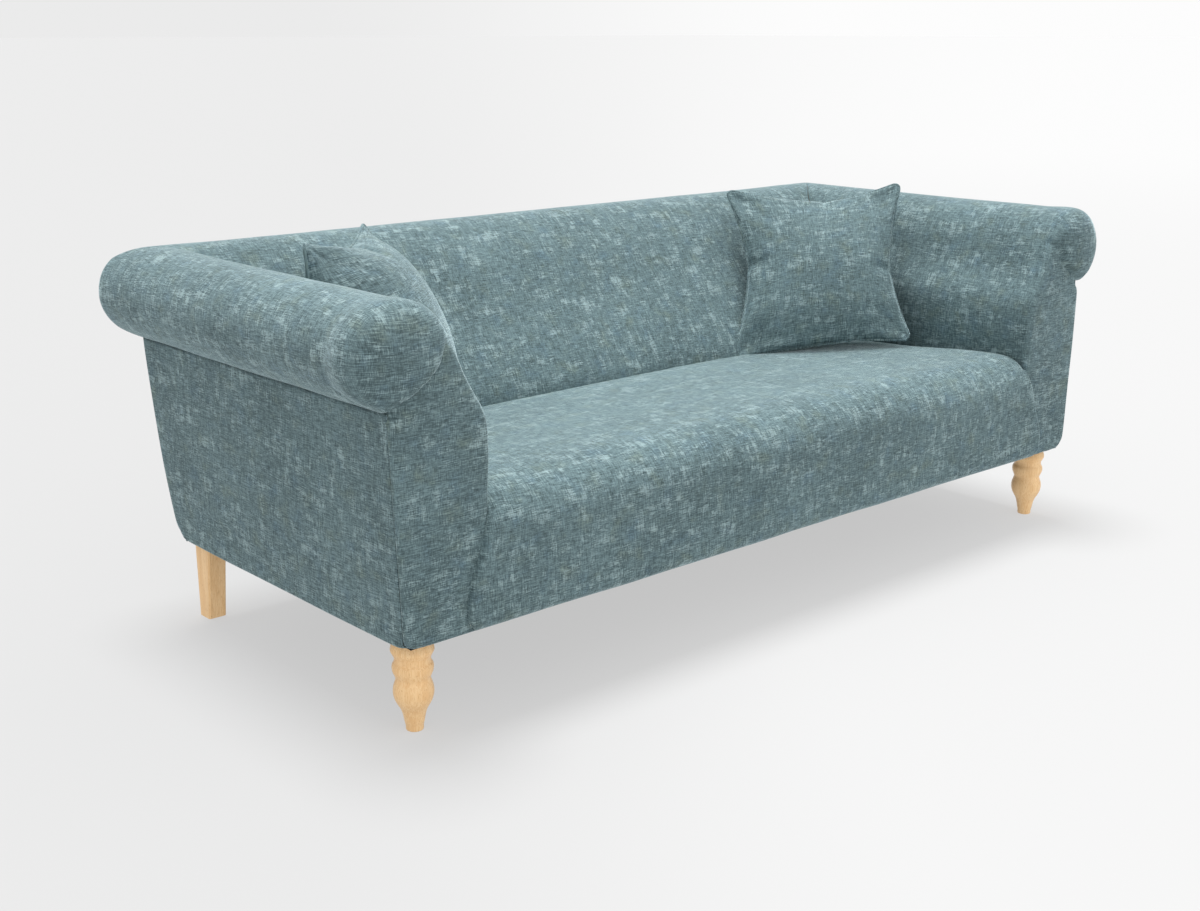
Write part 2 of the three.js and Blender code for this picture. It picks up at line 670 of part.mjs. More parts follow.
const uprightFootZ = backRailTopZ + touch;
const uprightFootY = across(rearRise, uprightFootZ) - cover - touch;
const uprightOutline = [
  [uprightFootY - uprightDepth, uprightFootZ],
  [uprightFootY, uprightFootZ],
  [uprightRearY, rakedHeadZ],
  [uprightRearY - uprightDepth, rakedHeadZ],
];
const rakedOutline = [
  [rearSeatRailY, springRailZ + touch],
  [rearSeatRailY + rakedPostDepth, springRailZ + touch],
  [rearSeatRailY + rakedPostDepth, backCurveFootZ],
  [rakedHeadY + rakedPostDepth, rakedHeadZ],
  [rakedHeadY, rakedHeadZ],
  [rearSeatRailY, backCurveFootZ],
];
const rakedX = tackingX + touch;
const backPosts = {
  left: { upright: -sideRailX, raked: -(rakedX + rakedPostWidth) },
  centre: { upright: rakedPostWidth / 2 + touch, raked: -rakedPostWidth / 2 },
  right: { upright: sideRailX - uprightWidth, raked: rakedX },
};
for (const [side, { upright, raked }] of Object.entries(backPosts)) {
  addNode(`${side}_back_upright`, prism('x', uprightOutline, upright, upright + uprightWidth), 'timber');
  addNode(`${side}_raked_post`, prism('x', rakedOutline, raked, raked + rakedPostWidth), 'timber');
}

// Webbing: three straps across the raked posts, behind the back foam
const rakeWay = new THREE.Vector2(rakedHeadY - rearSeatRailY, rakedHeadZ - backCurveFootZ);
const webbingRoom = rakeWay.length() - webbingWidth;
rakeWay.normalize();
webbingShares.forEach((share, i) => {
  const [low, high] = [share * webbingRoom, share * webbingRoom + webbingWidth].map((along) => (
    [rearSeatRailY + rakeWay.x * along, backCurveFootZ + rakeWay.y * along]
  ));
  const rear = parallel([low, high], -touch);
  const front = parallel([low, high], -(touch + webbingThickness));
  const outline = [rear[0], rear[1], front[1], front[0]];
  const half = rakedX + rakedPostWidth;
  addNode(`back_webbing_${i + 1}`, prism('x', outline, -half, half), 'webbing');
});

// Zigzag springs from the front rail to the rear seat rail, lying on both
const springZ = springRailZ + touch + springWireRadius;
const springFrontY = frameFrontY + railThickness / 2;
const springRearY = rearSeatRailY + railThickness / 2;
for (let i = 0; i < springCount; i += 1) {
  const x = (armInnerX - springSideRoom) * (2 * i / (springCount - 1) - 1);
  const bends = Array.from({ length: springBends + 1 }, (_, k) => {
    const sway = k === 0 || k === springBends ? 0 : springWaveWidth * (k % 2 ? 1 : -1);
    const y = springFrontY + (springRearY - springFrontY) * k / springBends;
    return new THREE.Vector3(x + sway, y, springZ);
  });
  const section = arc([0, 0], springWireRadius, 0, 360, springSides).slice(1);
  const wire = new THREE.Shape(section.map(([u, v]) => new THREE.Vector2(u, v)));
  const path = new THREE.CatmullRomCurve3(bends);
  const geometry = new THREE.ExtrudeGeometry(wire, { steps: springStepsInBend * springBends, extrudePath: path });
  addNode(`seat_spring_${i + 1}`, solidOf(geometry), 'steel');
}

// Bolts, their holes and the corner blocks that they run up into
function bolt(x, y, room) {
  const sharp = boltRadius / Math.cos(Math.PI / boltSides);
  const radius = room > 0 ? sharp + touch : boltRadius;
  const length = boltInLeg + boltInBlock + dustCloth + 2 * room;
  const geometry = new THREE.CylinderGeometry(radius, radius, length, boltSides);
  geometry.rotateX(Math.PI / 2);
  geometry.translate(x, y, legHeight - boltInLeg - room + length / 2);
  return solidOf(geometry);
}

const legX = sidePanelFoot - legFromSide;
const frontLegY = armFrontY + frontLegFromFront;
const backLegRearY = rearPanelFoot - backLegFromRear;
const corners = {
  front: { y: frontLegY, wallY: frameFrontY + railThickness + touch, way: 1 },
  back: { y: backLegRearY - backBoltFromRear, wallY: backRailFrontY - touch, way: -1 },
};
const holes = Object.values(corners).map(({ y }) => bolt(legX, y, boltRoom));
const boltHoles = holes.flatMap((hole) => [hole, mirrored(hole)]).reduce((all, hole) => all.add(hole));
const blocks = Object.values(corners).map(({ wallY, way }) => {
  const plan = [[railHalf, wallY], [railHalf - blockLeg, wallY], [railHalf, wallY + way * blockLeg]];
  return prism('z', plan, timberZ, timberZ + blockHeight).subtract(boltHoles);
});

// Legs: turned front legs, and square back legs whose front faces rake
const legTopZ = legHeight - touch;
const legProfile = legShares.map(([radius, height]) => new THREE.Vector2(frontLegRadius * radius, legTopZ * height));
const turned = new THREE.LatheGeometry(legProfile, legSides);
turned.rotateX(Math.PI / 2);
turned.translate(legX, frontLegY, 0);
const frontLeg = solidOf(turned).subtract(boltHoles);

function squareRing({ width, depth }, z) {
  const x0 = legX - width / 2;
  const x1 = legX + width / 2;
  const y1 = backLegRearY;
  const y0 = y1 - depth;
  const e = backLegEdge;
  const plan = [
    [x0 + e, y0], [x1 - e, y0], [x1, y0 + e], [x1, y1 - e], [x1 - e, y1], [x0 + e, y1], [x0, y1 - e], [x0, y0 + e],
  ];
  return plan.map(([x, y]) => [x, y, z]);
}

const backLegRings = [squareRing(backLegFoot, 0), squareRing(backLegHead, legTopZ)];
const backLeg = loft(backLegRings, [0, 1]).subtract(boltHoles);
const legs = [frontLeg, backLeg];
for (const [side, mirror] of [['left', -1], ['right', 1]]) {
  Object.entries(corners).forEach(([end, { y }], i) => {
    addNode(`${end}_${side}_leg`, legs[i], 'beech', mirror);
    addNode(`${end}_${side}_hanger_bolt`, bolt(legX, y, 0), 'steel', mirror);
    addNode(`${end}_${side}_corner_block`, blocks[i], 'timber', mirror);
  });
}

// Dust cover under the frame
const dustHalf = sidePanelFoot - cover - touch;
const dustCover = box(-dustHalf, dustHalf, boardFrontY, rearPanelFoot - cover - touch, undersideZ, dustTopZ);
addNode('dust_cover', dustCover.subtract(boltHoles).subtract(timberCorners), 'dustCloth');

// Scatter cushions: a square cover with drawn-in sides and a crown on each face, open along its zip, and a pad
function cushionSolid(inset) {
  const half = cushionSize / 2 - inset;
  const edge = Math.max(cushionEdge - inset / 2, cushionEdge / 4);
  const surface = (way, i, k) => {
    const a = 2 * i / cushionCells - 1;
    const b = 2 * k / cushionCells - 1;
    const sideIn = cushionDrawIn * (1 - b * b);
    const endIn = (b < 0 ? cushionFootDrawIn : cushionDrawIn) * (1 - a * a);
    const crown = ((1 - a * a) * (1 - b * b)) ** cushionPower;
    const bulge = (way < 0 ? cushionFront : cushionRear) - edge - inset / 2;
    return [a * (half - sideIn), way * (edge / 2 + bulge * crown), cushionSize / 2 + b * (half - endIn)];
  };
  const positions = [];
  const index = [];
  const row = cushionCells + 1;
  for (const way of [-1, 1]) {
    for (let k = 0; k < row; k += 1) {
      for (let i = 0; i < row; i += 1) positions.push(...surface(way, i, k));
    }
  }
  const quad = (a, b, c, d) => index.push(a, b, c, a, c, d);
  const rear = row * row;
  for (let k = 0; k < cushionCells; k += 1) {
    for (let i = 0; i < cushionCells; i += 1) {
      const p = k * row + i;
      quad(p, p + 1, p + row + 1, p + row);
      quad(rear + p, rear + p + row, rear + p + row + 1, rear + p + 1);
    }
    const top = cushionCells * row + k;
    const right = k * row + cushionCells;
    quad(k + 1, k, rear + k, rear + k + 1);
    quad(top, top + 1, rear + top + 1, rear + top);
    quad(k * row, (k + 1) * row, rear + (k + 1) * row, rear + k * row);
    quad(right + row, right, rear + right, rear + right + row);
  }
  const geometry = new THREE.BufferGeometry();
  geometry.setAttribute('position', new THREE.Float32BufferAttribute(positions, 3));
  geometry.setIndex(index);
  return solidOf(geometry);
}

const zipRoom = box(-zipLength / 2, zipLength / 2, -zipGap / 2, zipGap / 2, -cushionSize, 2 * cushionFootDrawIn);
const cushionCover = cushionSolid(0).subtract(cushionSolid(cushionCloth)).subtract(zipRoom);
const cushionPad = cushionSolid(cushionCloth + 2 * touch);
for (const { side, way, fromArm, fromBack, sunk, turns } of cushionPlaces) {
  const [turn, lean, roll] = turns.map(THREE.MathUtils.degToRad);
  const tilt = new THREE.Euler(-lean, roll, turn, 'ZXY');
  const rear = new THREE.Vector3(0, cushionRear, cushionSize / 2).applyEuler(tilt);
  const foot = [way * (armInnerX - fromArm) - rear.x, seatRearY - fromBack - rear.y, seatCrownZ - sunk];
  for (const [piece, solid, finish] of [['cover', cushionCover, 'fabric'], ['pad', cushionPad, 'fibre']]) {
    const node = addNode(`${side}_cushion_${piece}`, solid, finish);
    node.position.set(...foot);
    node.rotation.copy(tilt);
  }
}

export default sofa;
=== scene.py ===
# A three-seat roll arm sofa: arms and back rolled at one height, a sprung bench seat, turned beech front
# legs, square back legs and two scatter cushions, all in faded teal velvet. Metres, +Z up, front to -Y.
from math import acos, cos, pi, radians, sin, sqrt

import bpy
import numpy as np
from mathutils import Matrix, Vector, noise
from mathutils.geometry import delaunay_2d_cdt


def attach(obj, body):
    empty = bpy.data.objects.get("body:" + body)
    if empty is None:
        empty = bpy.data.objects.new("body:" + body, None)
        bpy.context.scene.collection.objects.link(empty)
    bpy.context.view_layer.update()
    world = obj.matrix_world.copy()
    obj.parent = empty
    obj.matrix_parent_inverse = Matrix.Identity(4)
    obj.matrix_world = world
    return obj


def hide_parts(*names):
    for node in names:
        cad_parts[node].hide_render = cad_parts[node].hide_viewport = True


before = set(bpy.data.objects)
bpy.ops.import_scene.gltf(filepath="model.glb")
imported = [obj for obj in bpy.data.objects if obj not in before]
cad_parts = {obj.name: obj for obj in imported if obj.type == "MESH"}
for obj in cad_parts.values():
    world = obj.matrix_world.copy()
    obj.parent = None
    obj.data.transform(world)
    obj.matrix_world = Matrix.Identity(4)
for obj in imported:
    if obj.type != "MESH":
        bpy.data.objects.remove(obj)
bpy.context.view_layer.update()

# Camera: it stands off the sofa's front left corner at chest height and looks a little down.
camera = bpy.data.objects.new("camera", bpy.data.cameras.new("camera"))
camera.location = (-2.4024, -2.5294, 1.2163)
camera.rotation_euler = (radians(90 - 15.54), 0, radians(-41.72))
camera.data.sensor_width = 36
camera.data.lens = 46.11
bpy.context.scene.collection.objects.link(camera)
bpy.context.scene.camera = camera


# Arm covers: each is one sewn piece of velvet that runs from the seat up the inside of the arm, over the roll
# and round to the padded front facing. It is drawn tight over foam, tucked in at the seat and tacked under
# the roll.
half_width = 1.093
half_depth = 0.4925
frame_height = 0.788
leg_height = 0.180
roll_radius = 0.096
arm_axis_x = half_width - roll_radius
back_axis_y = half_depth - roll_radius
roll_axis_z = frame_height - roll_radius
arm_inner_x = half_width - 0.264
seat_rear_y = half_depth - 0.4005
seat_crown_z = 0.445
seat_rear_z = 0.419
seat_front_y = -half_depth
seat_lap = 0.020
arm_front_y = seat_front_y + seat_lap
tuck_z = 0.302
roll_start = radians(165)
cloth_thickness = 0.0024
inside_rows = 72
roll_rows = 84
side_panel_foot_x = arm_axis_x + 0.021
side_panel_head_x = arm_axis_x + 0.038
rear_panel_foot_y = back_axis_y - 0.0385
rear_panel_head_y = back_axis_y + 0.0205
bottom_corner_cut = 0.022
bottom_corner_softness = 0.009


def smooth_step(low, high, value):
    share = np.clip((np.asarray(value, float) - low) / (high - low), 0, 1)
    return share * share * (3 - 2 * share)


def through(stops, start_slope, end_slope):
    """A smooth curve through stops of (place, value), as a function of the place."""
    place, value = np.array(stops, float).T
    slope = np.gradient(value, place)
    slope[0], slope[-1] = start_slope, end_slope

    def at(where):
        where = np.clip(where, place[0], place[-1])
        i = np.clip(np.searchsorted(place, where) - 1, 0, len(place) - 2)
        step = place[i + 1] - place[i]
        t = (where - place[i]) / step
        rest = 1 - t
        ends = value[i] * rest * rest * (1 + 2 * t) + value[i + 1] * t * t * (3 - 2 * t)
        bends = slope[i] * t * rest * rest - slope[i + 1] * t * t * rest
        return ends + bends * step

    return at


roll_start_z = roll_axis_z + roll_radius * sin(roll_start)
roll_start_slope = -sin(roll_start) / cos(roll_start)


def inside_face(foot_u, foot_z, axis_u, shares):
    """How far out the inside face of an arm or the back stands at each height, from the tuck to its roll."""
    sweep = axis_u + roll_radius * cos(roll_start) - foot_u
    rise = roll_start_z - foot_z
    stops = [(tuck_z, foot_u)] + [(foot_z + rise * up, foot_u + sweep * out) for out, up in shares]
    return through(stops, 0, roll_start_slope)


arm_shares = [(0, 0), (-0.05, 0.25), (0.09, 0.52), (0.4, 0.66), (0.68, 0.8), (0.92, 0.94), (1, 1)]
back_shares = [
    (0, 0), (0.02, 0.05), (0.17, 0.25), (0.36, 0.45), (0.57, 0.65), (0.77, 0.8), (0.92, 0.93), (1, 1),
]
arm_face = inside_face(arm_inner_x, seat_crown_z - 0.010, arm_axis_x, arm_shares)
back_face = inside_face(seat_rear_y, seat_rear_z - 0.004, back_axis_y, back_shares)
inside_z = np.linspace(tuck_z, roll_start_z, inside_rows)


def over_roll(face, axis_u, end_u):
    """The section (u, z) of an inside face and its roll, and the turn of each point on the roll."""
    end_turn = -acos((end_u - axis_u) / roll_radius)
    turn = np.linspace(roll_start, end_turn, roll_rows)[1:]
    u = np.concatenate([face(inside_z), axis_u + roll_radius * np.cos(turn)])
    z = np.concatenate([inside_z, roll_axis_z + roll_radius * np.sin(turn)])
    return u, z, turn


def bridged(face, axis_u, end_u, low_z, high_turn):
    """The section with the hollow under the roll padded out, so that the face runs smoothly onto the roll."""
    u, z, turn = over_roll(face, axis_u, end_u)
    high_z = roll_axis_z + roll_radius * sin(high_turn)
    high_u = axis_u + roll_radius * cos(high_turn)
    low_slope = float(face(low_z + 0.001) - face(low_z - 0.001)) / 0.002
    high_slope = -sin(high_turn) / cos(high_turn)
    bridge = through([(low_z, float(face(low_z))), (high_z, high_u)], low_slope, high_slope)
    turns = np.concatenate([np.full(inside_rows, pi), turn])
    padded = (z > low_z) & (turns > high_turn)
    u[padded] = bridge(z[padded])
    return u, z, turn


arm_u, arm_z, arm_turn = bridged(arm_face, arm_axis_x, side_panel_head_x, 0.640, radians(140))
back_u, back_z, back_turn = bridged(back_face, back_axis_y, rear_panel_head_y, 0.600, radians(128))


def run_length(u, z):
    return np.concatenate([[0], np.cumsum(np.hypot(np.diff(u), np.diff(z)))])


def mitre_lines(u, z, own_axis, other_u, other_z, other_axis):
    """For each row: where the other side's surface crosses it, and how round the corner is there."""
    out = u - own_axis
    rising = np.argmax(other_z)
    front = np.arange(len(u)) < np.argmax(z)
    other = np.where(front, np.interp(z, other_z[:rising], other_u[:rising]), other_axis + out)
    radius = np.interp(out, [0.066, roll_radius], [0.008, 0.045])
    radius[out < 0.02] = 0
    return other, radius


corner_puff = 0.007
corner_puff_reach = 0.16
front_flare_reach = 0.075
arc_columns = 8
front_columns = 40
long_columns = 90
front_reach = 0.15
front_share = front_reach / 0.86
long_steps = np.linspace(0, 1 - front_share, long_columns + 1)
front_steps = np.linspace(1 - front_share, 1, front_columns + 1)[1:]
run_steps = np.concatenate([long_steps, front_steps])
mitre_curl = 0.0014
mitre_curl_reach = 0.0018


def puffed(turn, top, side):
    """How far a roll's padding swells at each row, more on the outer side than on top."""
    grow = (1 - smooth_step(radians(95), radians(160), turn)) * smooth_step(radians(-66), radians(-5), turn)
    swell = (top + (side - top) * (1 - smooth_step(radians(20), radians(90), turn))) * grow
    return np.concatenate([np.zeros(inside_rows), swell])


def corner_rows(u, other, radius, start):
    """Points of each row, from the mitre back to the cover's start: (along u, along the row, distance)."""
    arc_length = np.maximum(radius * pi / 4, 0.010)[:, None]
    arc = np.linspace(0, 1, arc_columns + 1)[None, :-1] * arc_length
    straight_start = (other - radius)[:, None] + radius[:, None] * pi / 4
    total = straight_start - start[:, None]
    straight = arc_length + (total - arc_length) * run_steps[None, :]
    distance = np.concatenate([arc, straight], axis=1)
    round_part = radius[:, None] * pi / 4
    bend = np.where(distance < round_part, pi / 4 - distance / np.maximum(radius[:, None], 1e-6), 0)
    across = (u - radius)[:, None] + radius[:, None] * np.cos(bend)
    along = (other - radius)[:, None] + radius[:, None] * np.sin(bend)
    along -= np.maximum(distance - round_part, 0)
    return across, along, distance


def grid_quads(index):
    """Faces over a table of vertex numbers."""
    return np.stack([index[:-1, :-1], index[1:, :-1], index[1:, 1:], index[:-1, 1:]], axis=-1).reshape(-1, 4)


def clip_corners(points):
    """The four bottom corners of the sofa are clipped and softly rounded, so cloth there moves inward."""
    x, y, z = points.T
    side = side_panel_foot_x - np.abs(x)
    end = np.minimum(y - arm_front_y, rear_panel_foot_y - y)
    up = z - leg_height
    total = side + end + up
    over = total - bottom_corner_cut
    kept = (total + bottom_corner_cut + np.sqrt(over * over + bottom_corner_softness ** 2)) / 2
    move = (kept - total) / 3 * (1 - smooth_step(0.05, 0.12, total))
    inward_y = np.where(y < 0, 1, -1)
    return points + move[:, None] * np.stack([-np.sign(x), inward_y, np.ones_like(x)], axis=1)


def unevenness(points, size, amount, seed):
    """Slow swells of the padding under the cloth."""
    shift = Vector((seed * 7.3, seed * 3.1, seed * 5.7))
    return np.array([noise.noise(Vector(p) / size + shift) for p in points]) * amount


crease_fade = 0.25


def crease(points, path, depth, width):
    """How far the cloth sinks near a path of points, most along its middle."""
    sunk = np.zeros(len(points))
    path = np.array(path, float)
    steps = np.linalg.norm(np.diff(path, axis=0), axis=1)
    reached = np.concatenate([[0], np.cumsum(steps)]) / steps.sum()
    for a, b, from_share, to_share in zip(path[:-1], path[1:], reached[:-1], reached[1:]):
        way = b - a
        t = np.clip((points - a) @ way / (way @ way), 0, 1)
        gap = np.linalg.norm(points - (a + t[:, None] * way), axis=1)
        share = from_share + (to_share - from_share) * t
        taper = np.clip(share / crease_fade, 0, 1) * np.clip((1 - share) / crease_fade, 0, 1)
        sunk = np.maximum(sunk, depth * np.exp(-(gap / width) ** 2) * np.sqrt(taper))
    return sunk


def mesh_piece(name, points, faces, inside, cloth=None, facing=None, sink=None):
    """A mesh with its faces turned away from a point inside it, its cloth coordinates and its sunk places."""
    points = np.asarray(points, float)
    faces = [tuple(int(i) for i in face) for face in faces]
    mesh = bpy.data.meshes.new(name)
    mesh.from_pydata([tuple(p) for p in points], [], faces)
    away = sum((f.center - Vector(inside)).dot(f.normal) * f.area for f in mesh.polygons)
    if away < 0:
        mesh.flip_normals()
    if sink is not None:
        normals = np.array([v.normal for v in mesh.vertices])
        points = points - normals * sink[:, None]
        mesh.vertices.foreach_set("co", points.astype(np.float32).ravel())
    if cloth is not None:
        layer = mesh.attributes.new("cloth", "FLOAT_VECTOR", "POINT")
        layer.data.foreach_set("vector", np.asarray(cloth, np.float32).ravel())
    if facing is not None:
        layer = mesh.attributes.new("facing", "FLOAT", "POINT")
        layer.data.foreach_set("value", np.asarray(facing, np.float32))
    mesh.shade_smooth()
    mesh.update()
    piece = bpy.data.objects.new(name, mesh)
    bpy.context.scene.collection.objects.link(piece)
    return piece


def dress(piece, material, slot, body, *nodes, thickness=0.0):
    """The piece gets its material and its own thickness, rides on its body and stands for its CAD nodes."""
    if thickness:
        shell = piece.modifiers.new("thickness", "SOLIDIFY")
        shell.thickness = thickness
        shell.offset = -1
    piece.data.materials.append(material)
    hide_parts(*nodes)
    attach(piece, body)


class Shade:
    """A socket of a material's node tree. Sums on sockets add the nodes that work them out."""

    def __init__(self, tree, socket=None):
        self.tree = tree
        self.socket = socket

    def add(self, kind, settings=None, inputs=None, output=0):
        node = self.tree.nodes.new(kind)
        for name, value in (settings or {}).items():
            setattr(node, name, value)
        for name, value in (inputs or {}).items():
            if isinstance(value, Shade):
                self.tree.links.new(value.socket, node.inputs[name])
            else:
                node.inputs[name].default_value = value
        return Shade(self.tree, node.outputs[output] if len(node.outputs) else None)

    def math(self, operation, *values):
        return self.add("ShaderNodeMath", {"operation": operation}, dict(enumerate(values)))

    def __add__(self, other):
        return self.math("ADD", self, other)

    def __sub__(self, other):
        return self.math("SUBTRACT", self, other)

    def __rsub__(self, other):
        return self.math("SUBTRACT", other, self)

    def __mul__(self, other):
        return self.math("MULTIPLY", self, other)

    __radd__ = __add__
    __rmul__ = __mul__

    def step(self, low, high):
        return self.add(
            "ShaderNodeMapRange", {"interpolation_type": "SMOOTHSTEP"},
            {"Value": self, "From Min": low, "From Max": high},
        )

    def between(self, low, high):
        """Mixes two colours or two numbers, with this socket as the share of the second."""
        if isinstance(low, Shade) and low.socket.type == "VALUE":
            return low + self * (high - low)
        return self.add(
            "ShaderNodeMix", {"data_type": "RGBA"},
            {
                0: self,
                6: low if isinstance(low, Shade) else (*low, 1),
                7: high if isinstance(high, Shade) else (*high, 1),
            },
            output=2,
        )

    def stretched(self, x, y, z=1.0, seed=0.0):
        moved = (seed, seed * 0.7, seed * 1.3)
        return self.add("ShaderNodeMapping", None, {"Vector": self, "Scale": (x, y, z), "Location": moved})

    def noise(self, scale=1.0, detail=2.0):
        return self.add("ShaderNodeTexNoise", None, {"Vector": self, "Scale": scale, "Detail": detail})


def new_material(name):
    material = bpy.data.materials.new(name)
    material.use_nodes = True
    material.node_tree.nodes.clear()
    return material, Shade(material.node_tree)


def shader(shade, **inputs):
    """The shader, with values or sockets under its own names."""
    names = {name.replace("_", " ").title().replace("Ior", "IOR"): value for name, value in inputs.items()}
    return shade.add("ShaderNodeBsdfPrincipled", None, names)


def surface(shade, **inputs):
    shade.add("ShaderNodeOutputMaterial", None, {"Surface": shader(shade, **inputs)})


# The velvet: threads of uneven thickness both ways, with small ragged blocks where the pile has faded
cloth_dark = (0.050, 0.078, 0.084)
cloth_base = (0.172, 0.254, 0.270)
cloth_faded = (0.315, 0.422, 0.432)
cloth_olive = (0.182, 0.248, 0.228)
cloth_blue = (0.148, 0.232, 0.274)


def velvet_pattern(place):
    """Tone of the threads, how faded they are, and which way their tint leans, at a place on the cloth."""
    def threads(along, across, seed, detail=2.0):
        return place.stretched(1 / along, 1 / across, seed=seed).noise(detail=detail)

    def ragged(along_u, along_v, seed):
        shift_u = (threads(0.12, 0.0024, seed, 1.0) - 0.5) * (0.05 * (along_u > along_v))
        shift_v = (threads(0.0024, 0.12, seed + 2, 1.0) - 0.5) * (0.05 * (along_v > along_u))
        shift = place.add("ShaderNodeCombineXYZ", None, {"X": shift_u, "Y": shift_v})
        moved = place.add("ShaderNodeVectorMath", {"operation": "ADD"}, {0: place, 1: shift})
        return moved.stretched(1 / along_u, 1 / along_v, seed=seed).noise(detail=2.0)

    weft = threads(0.020, 0.0015, 1.7)
    warp = threads(0.0015, 0.016, 5.1)
    fine = threads(0.006, 0.0009, 9.3, 1.0) + threads(0.0009, 0.006, 12.7, 1.0)
    tone = weft * 0.75 + warp * 0.55 + fine * 0.35
    blocks = ragged(0.062, 0.017, 21.0) + ragged(0.019, 0.056, 33.0)
    faded = (blocks + (tone - 1.0) * 0.80).step(1.04, 1.40)
    tint = place.noise(scale=22.0, detail=3.0)
    broad = place.noise(scale=5.0, detail=3.0)
    return tone, faded, tint, broad


def velvet_material(name, wrapped):
    """Wrapped velvet takes its pattern from the front where the cloth is drawn over an arm's end."""
    material, shade = new_material(name)
    cloth = shade.add("ShaderNodeAttribute", {"attribute_name": "cloth"}, output=1)
    pattern = velvet_pattern(cloth)
    if wrapped:
        share = shade.add("ShaderNodeAttribute", {"attribute_name": "facing"}, output=2).step(0.2, 0.8)
        spot = shade.add("ShaderNodeTexCoord", output=3)
        front = spot.add("ShaderNodeMapping", None, {"Vector": spot, "Rotation": (radians(-90), 0, 0)})
        pattern = [share.between(side, end) for side, end in zip(pattern, velvet_pattern(front))]
    tone, faded, tint, broad = pattern
    thread = (tone + (broad - 0.5) * 0.20).step(0.76, 1.24)
    ground = thread.between(cloth_dark, cloth_base)
    ground = tint.step(0.53, 0.74).between(ground, thread.between(cloth_dark, cloth_olive))
    ground = (1 - tint).step(0.53, 0.74).between(ground, thread.between(cloth_dark, cloth_blue))
    colour = (faded * (thread * 0.46 + 0.34)).between(ground, cloth_faded)
    relief = shade.add(
        "ShaderNodeBump", None, {"Height": tone + faded * 0.3 - 1.0, "Strength": 0.5, "Distance": 0.0012},
    )
    pile = {"base_color": colour, "roughness": 0.88, "normal": relief, "specular_ior_level": 0.2}
    flat = shader(shade, sheen_weight=0.35, sheen_roughness=0.3, sheen_tint=(0.70, 0.94, 1.0, 1.0), **pile)
    brushed = shader(shade, sheen_weight=1.0, sheen_roughness=0.3, sheen_tint=(0.78, 0.96, 1.0, 1.0), **pile)
    share = (faded * 0.4 + (tone - 1.0) * 1.6 + 0.48).step(0.0, 1.0)
    both = shade.add("ShaderNodeMixShader", None, {0: share, 1: flat, 2: brushed})
    shade.add("ShaderNodeOutputMaterial", None, {"Surface": both})
    return material


velvet = velvet_material("faded_velvet", False)
wrapped_velvet = velvet_material("faded_velvet_wrapped", True)

cap_front = 0.031
cap_fullness = 2.8
cap_blend = 0.003
cap_turns = [-180, -169, -145, -115, -95, -85, -66, -52, -35, 0, 60, 120, 150, 180]
cap_reaches = [
    0.066, 0.062, 0.054, 0.053, 0.060, 0.066, 0.078, 0.094, 0.096, 0.096, 0.096, 0.096, 0.086, 0.066,
]
cap_depths = [
    0.029, 0.029, 0.029, 0.029, 0.029, 0.029, 0.034, 0.048, 0.056, 0.056, 0.056, 0.052, 0.036, 0.029,
]


def cap_place(x, z):
    """The turn and the share of the way from the middle of the padded roll end to its edge."""
    turn = np.degrees(np.arctan2(z - roll_axis_z, x - arm_axis_x))
    reach = np.interp(turn, cap_turns, cap_reaches)
    return turn, np.hypot(x - arm_axis_x, z - roll_axis_z) / reach


def arm_front(x, z):
    """Where the padded front of the right arm stands: a full dome on the roll and a flat facing below it."""
    turn, share = cap_place(x, z)
    share = np.minimum(share, 0.9995)
    depth = np.interp(turn, cap_turns, cap_depths)
    cap = arm_front_y - cap_front + depth * (1 - (1 - share ** cap_fullness) ** (1 / cap_fullness))
    gap = cap - arm_front_y
    return (cap + arm_front_y - np.sqrt(gap * gap + cap_blend ** 2)) / 2


def cap_crease(x, z):
    """The pulled-in line under the padded roll end, deepest below it and gone at its outer side and top."""
    turn, share = cap_place(x, z)
    there = smooth_step(-178, -120, turn) * (1 - smooth_step(-75, -50, turn))
    reach = np.interp(turn, cap_turns, cap_reaches)
    return 0.0035 * there * np.exp(-((share - 1.02) * reach / 0.0045) ** 2)


roll_edge = 0.027
inner_edge = 0.015
outer_edge = 0.009
foot_fillet = 0.013
outline_step = 0.007
ring_steps = 9


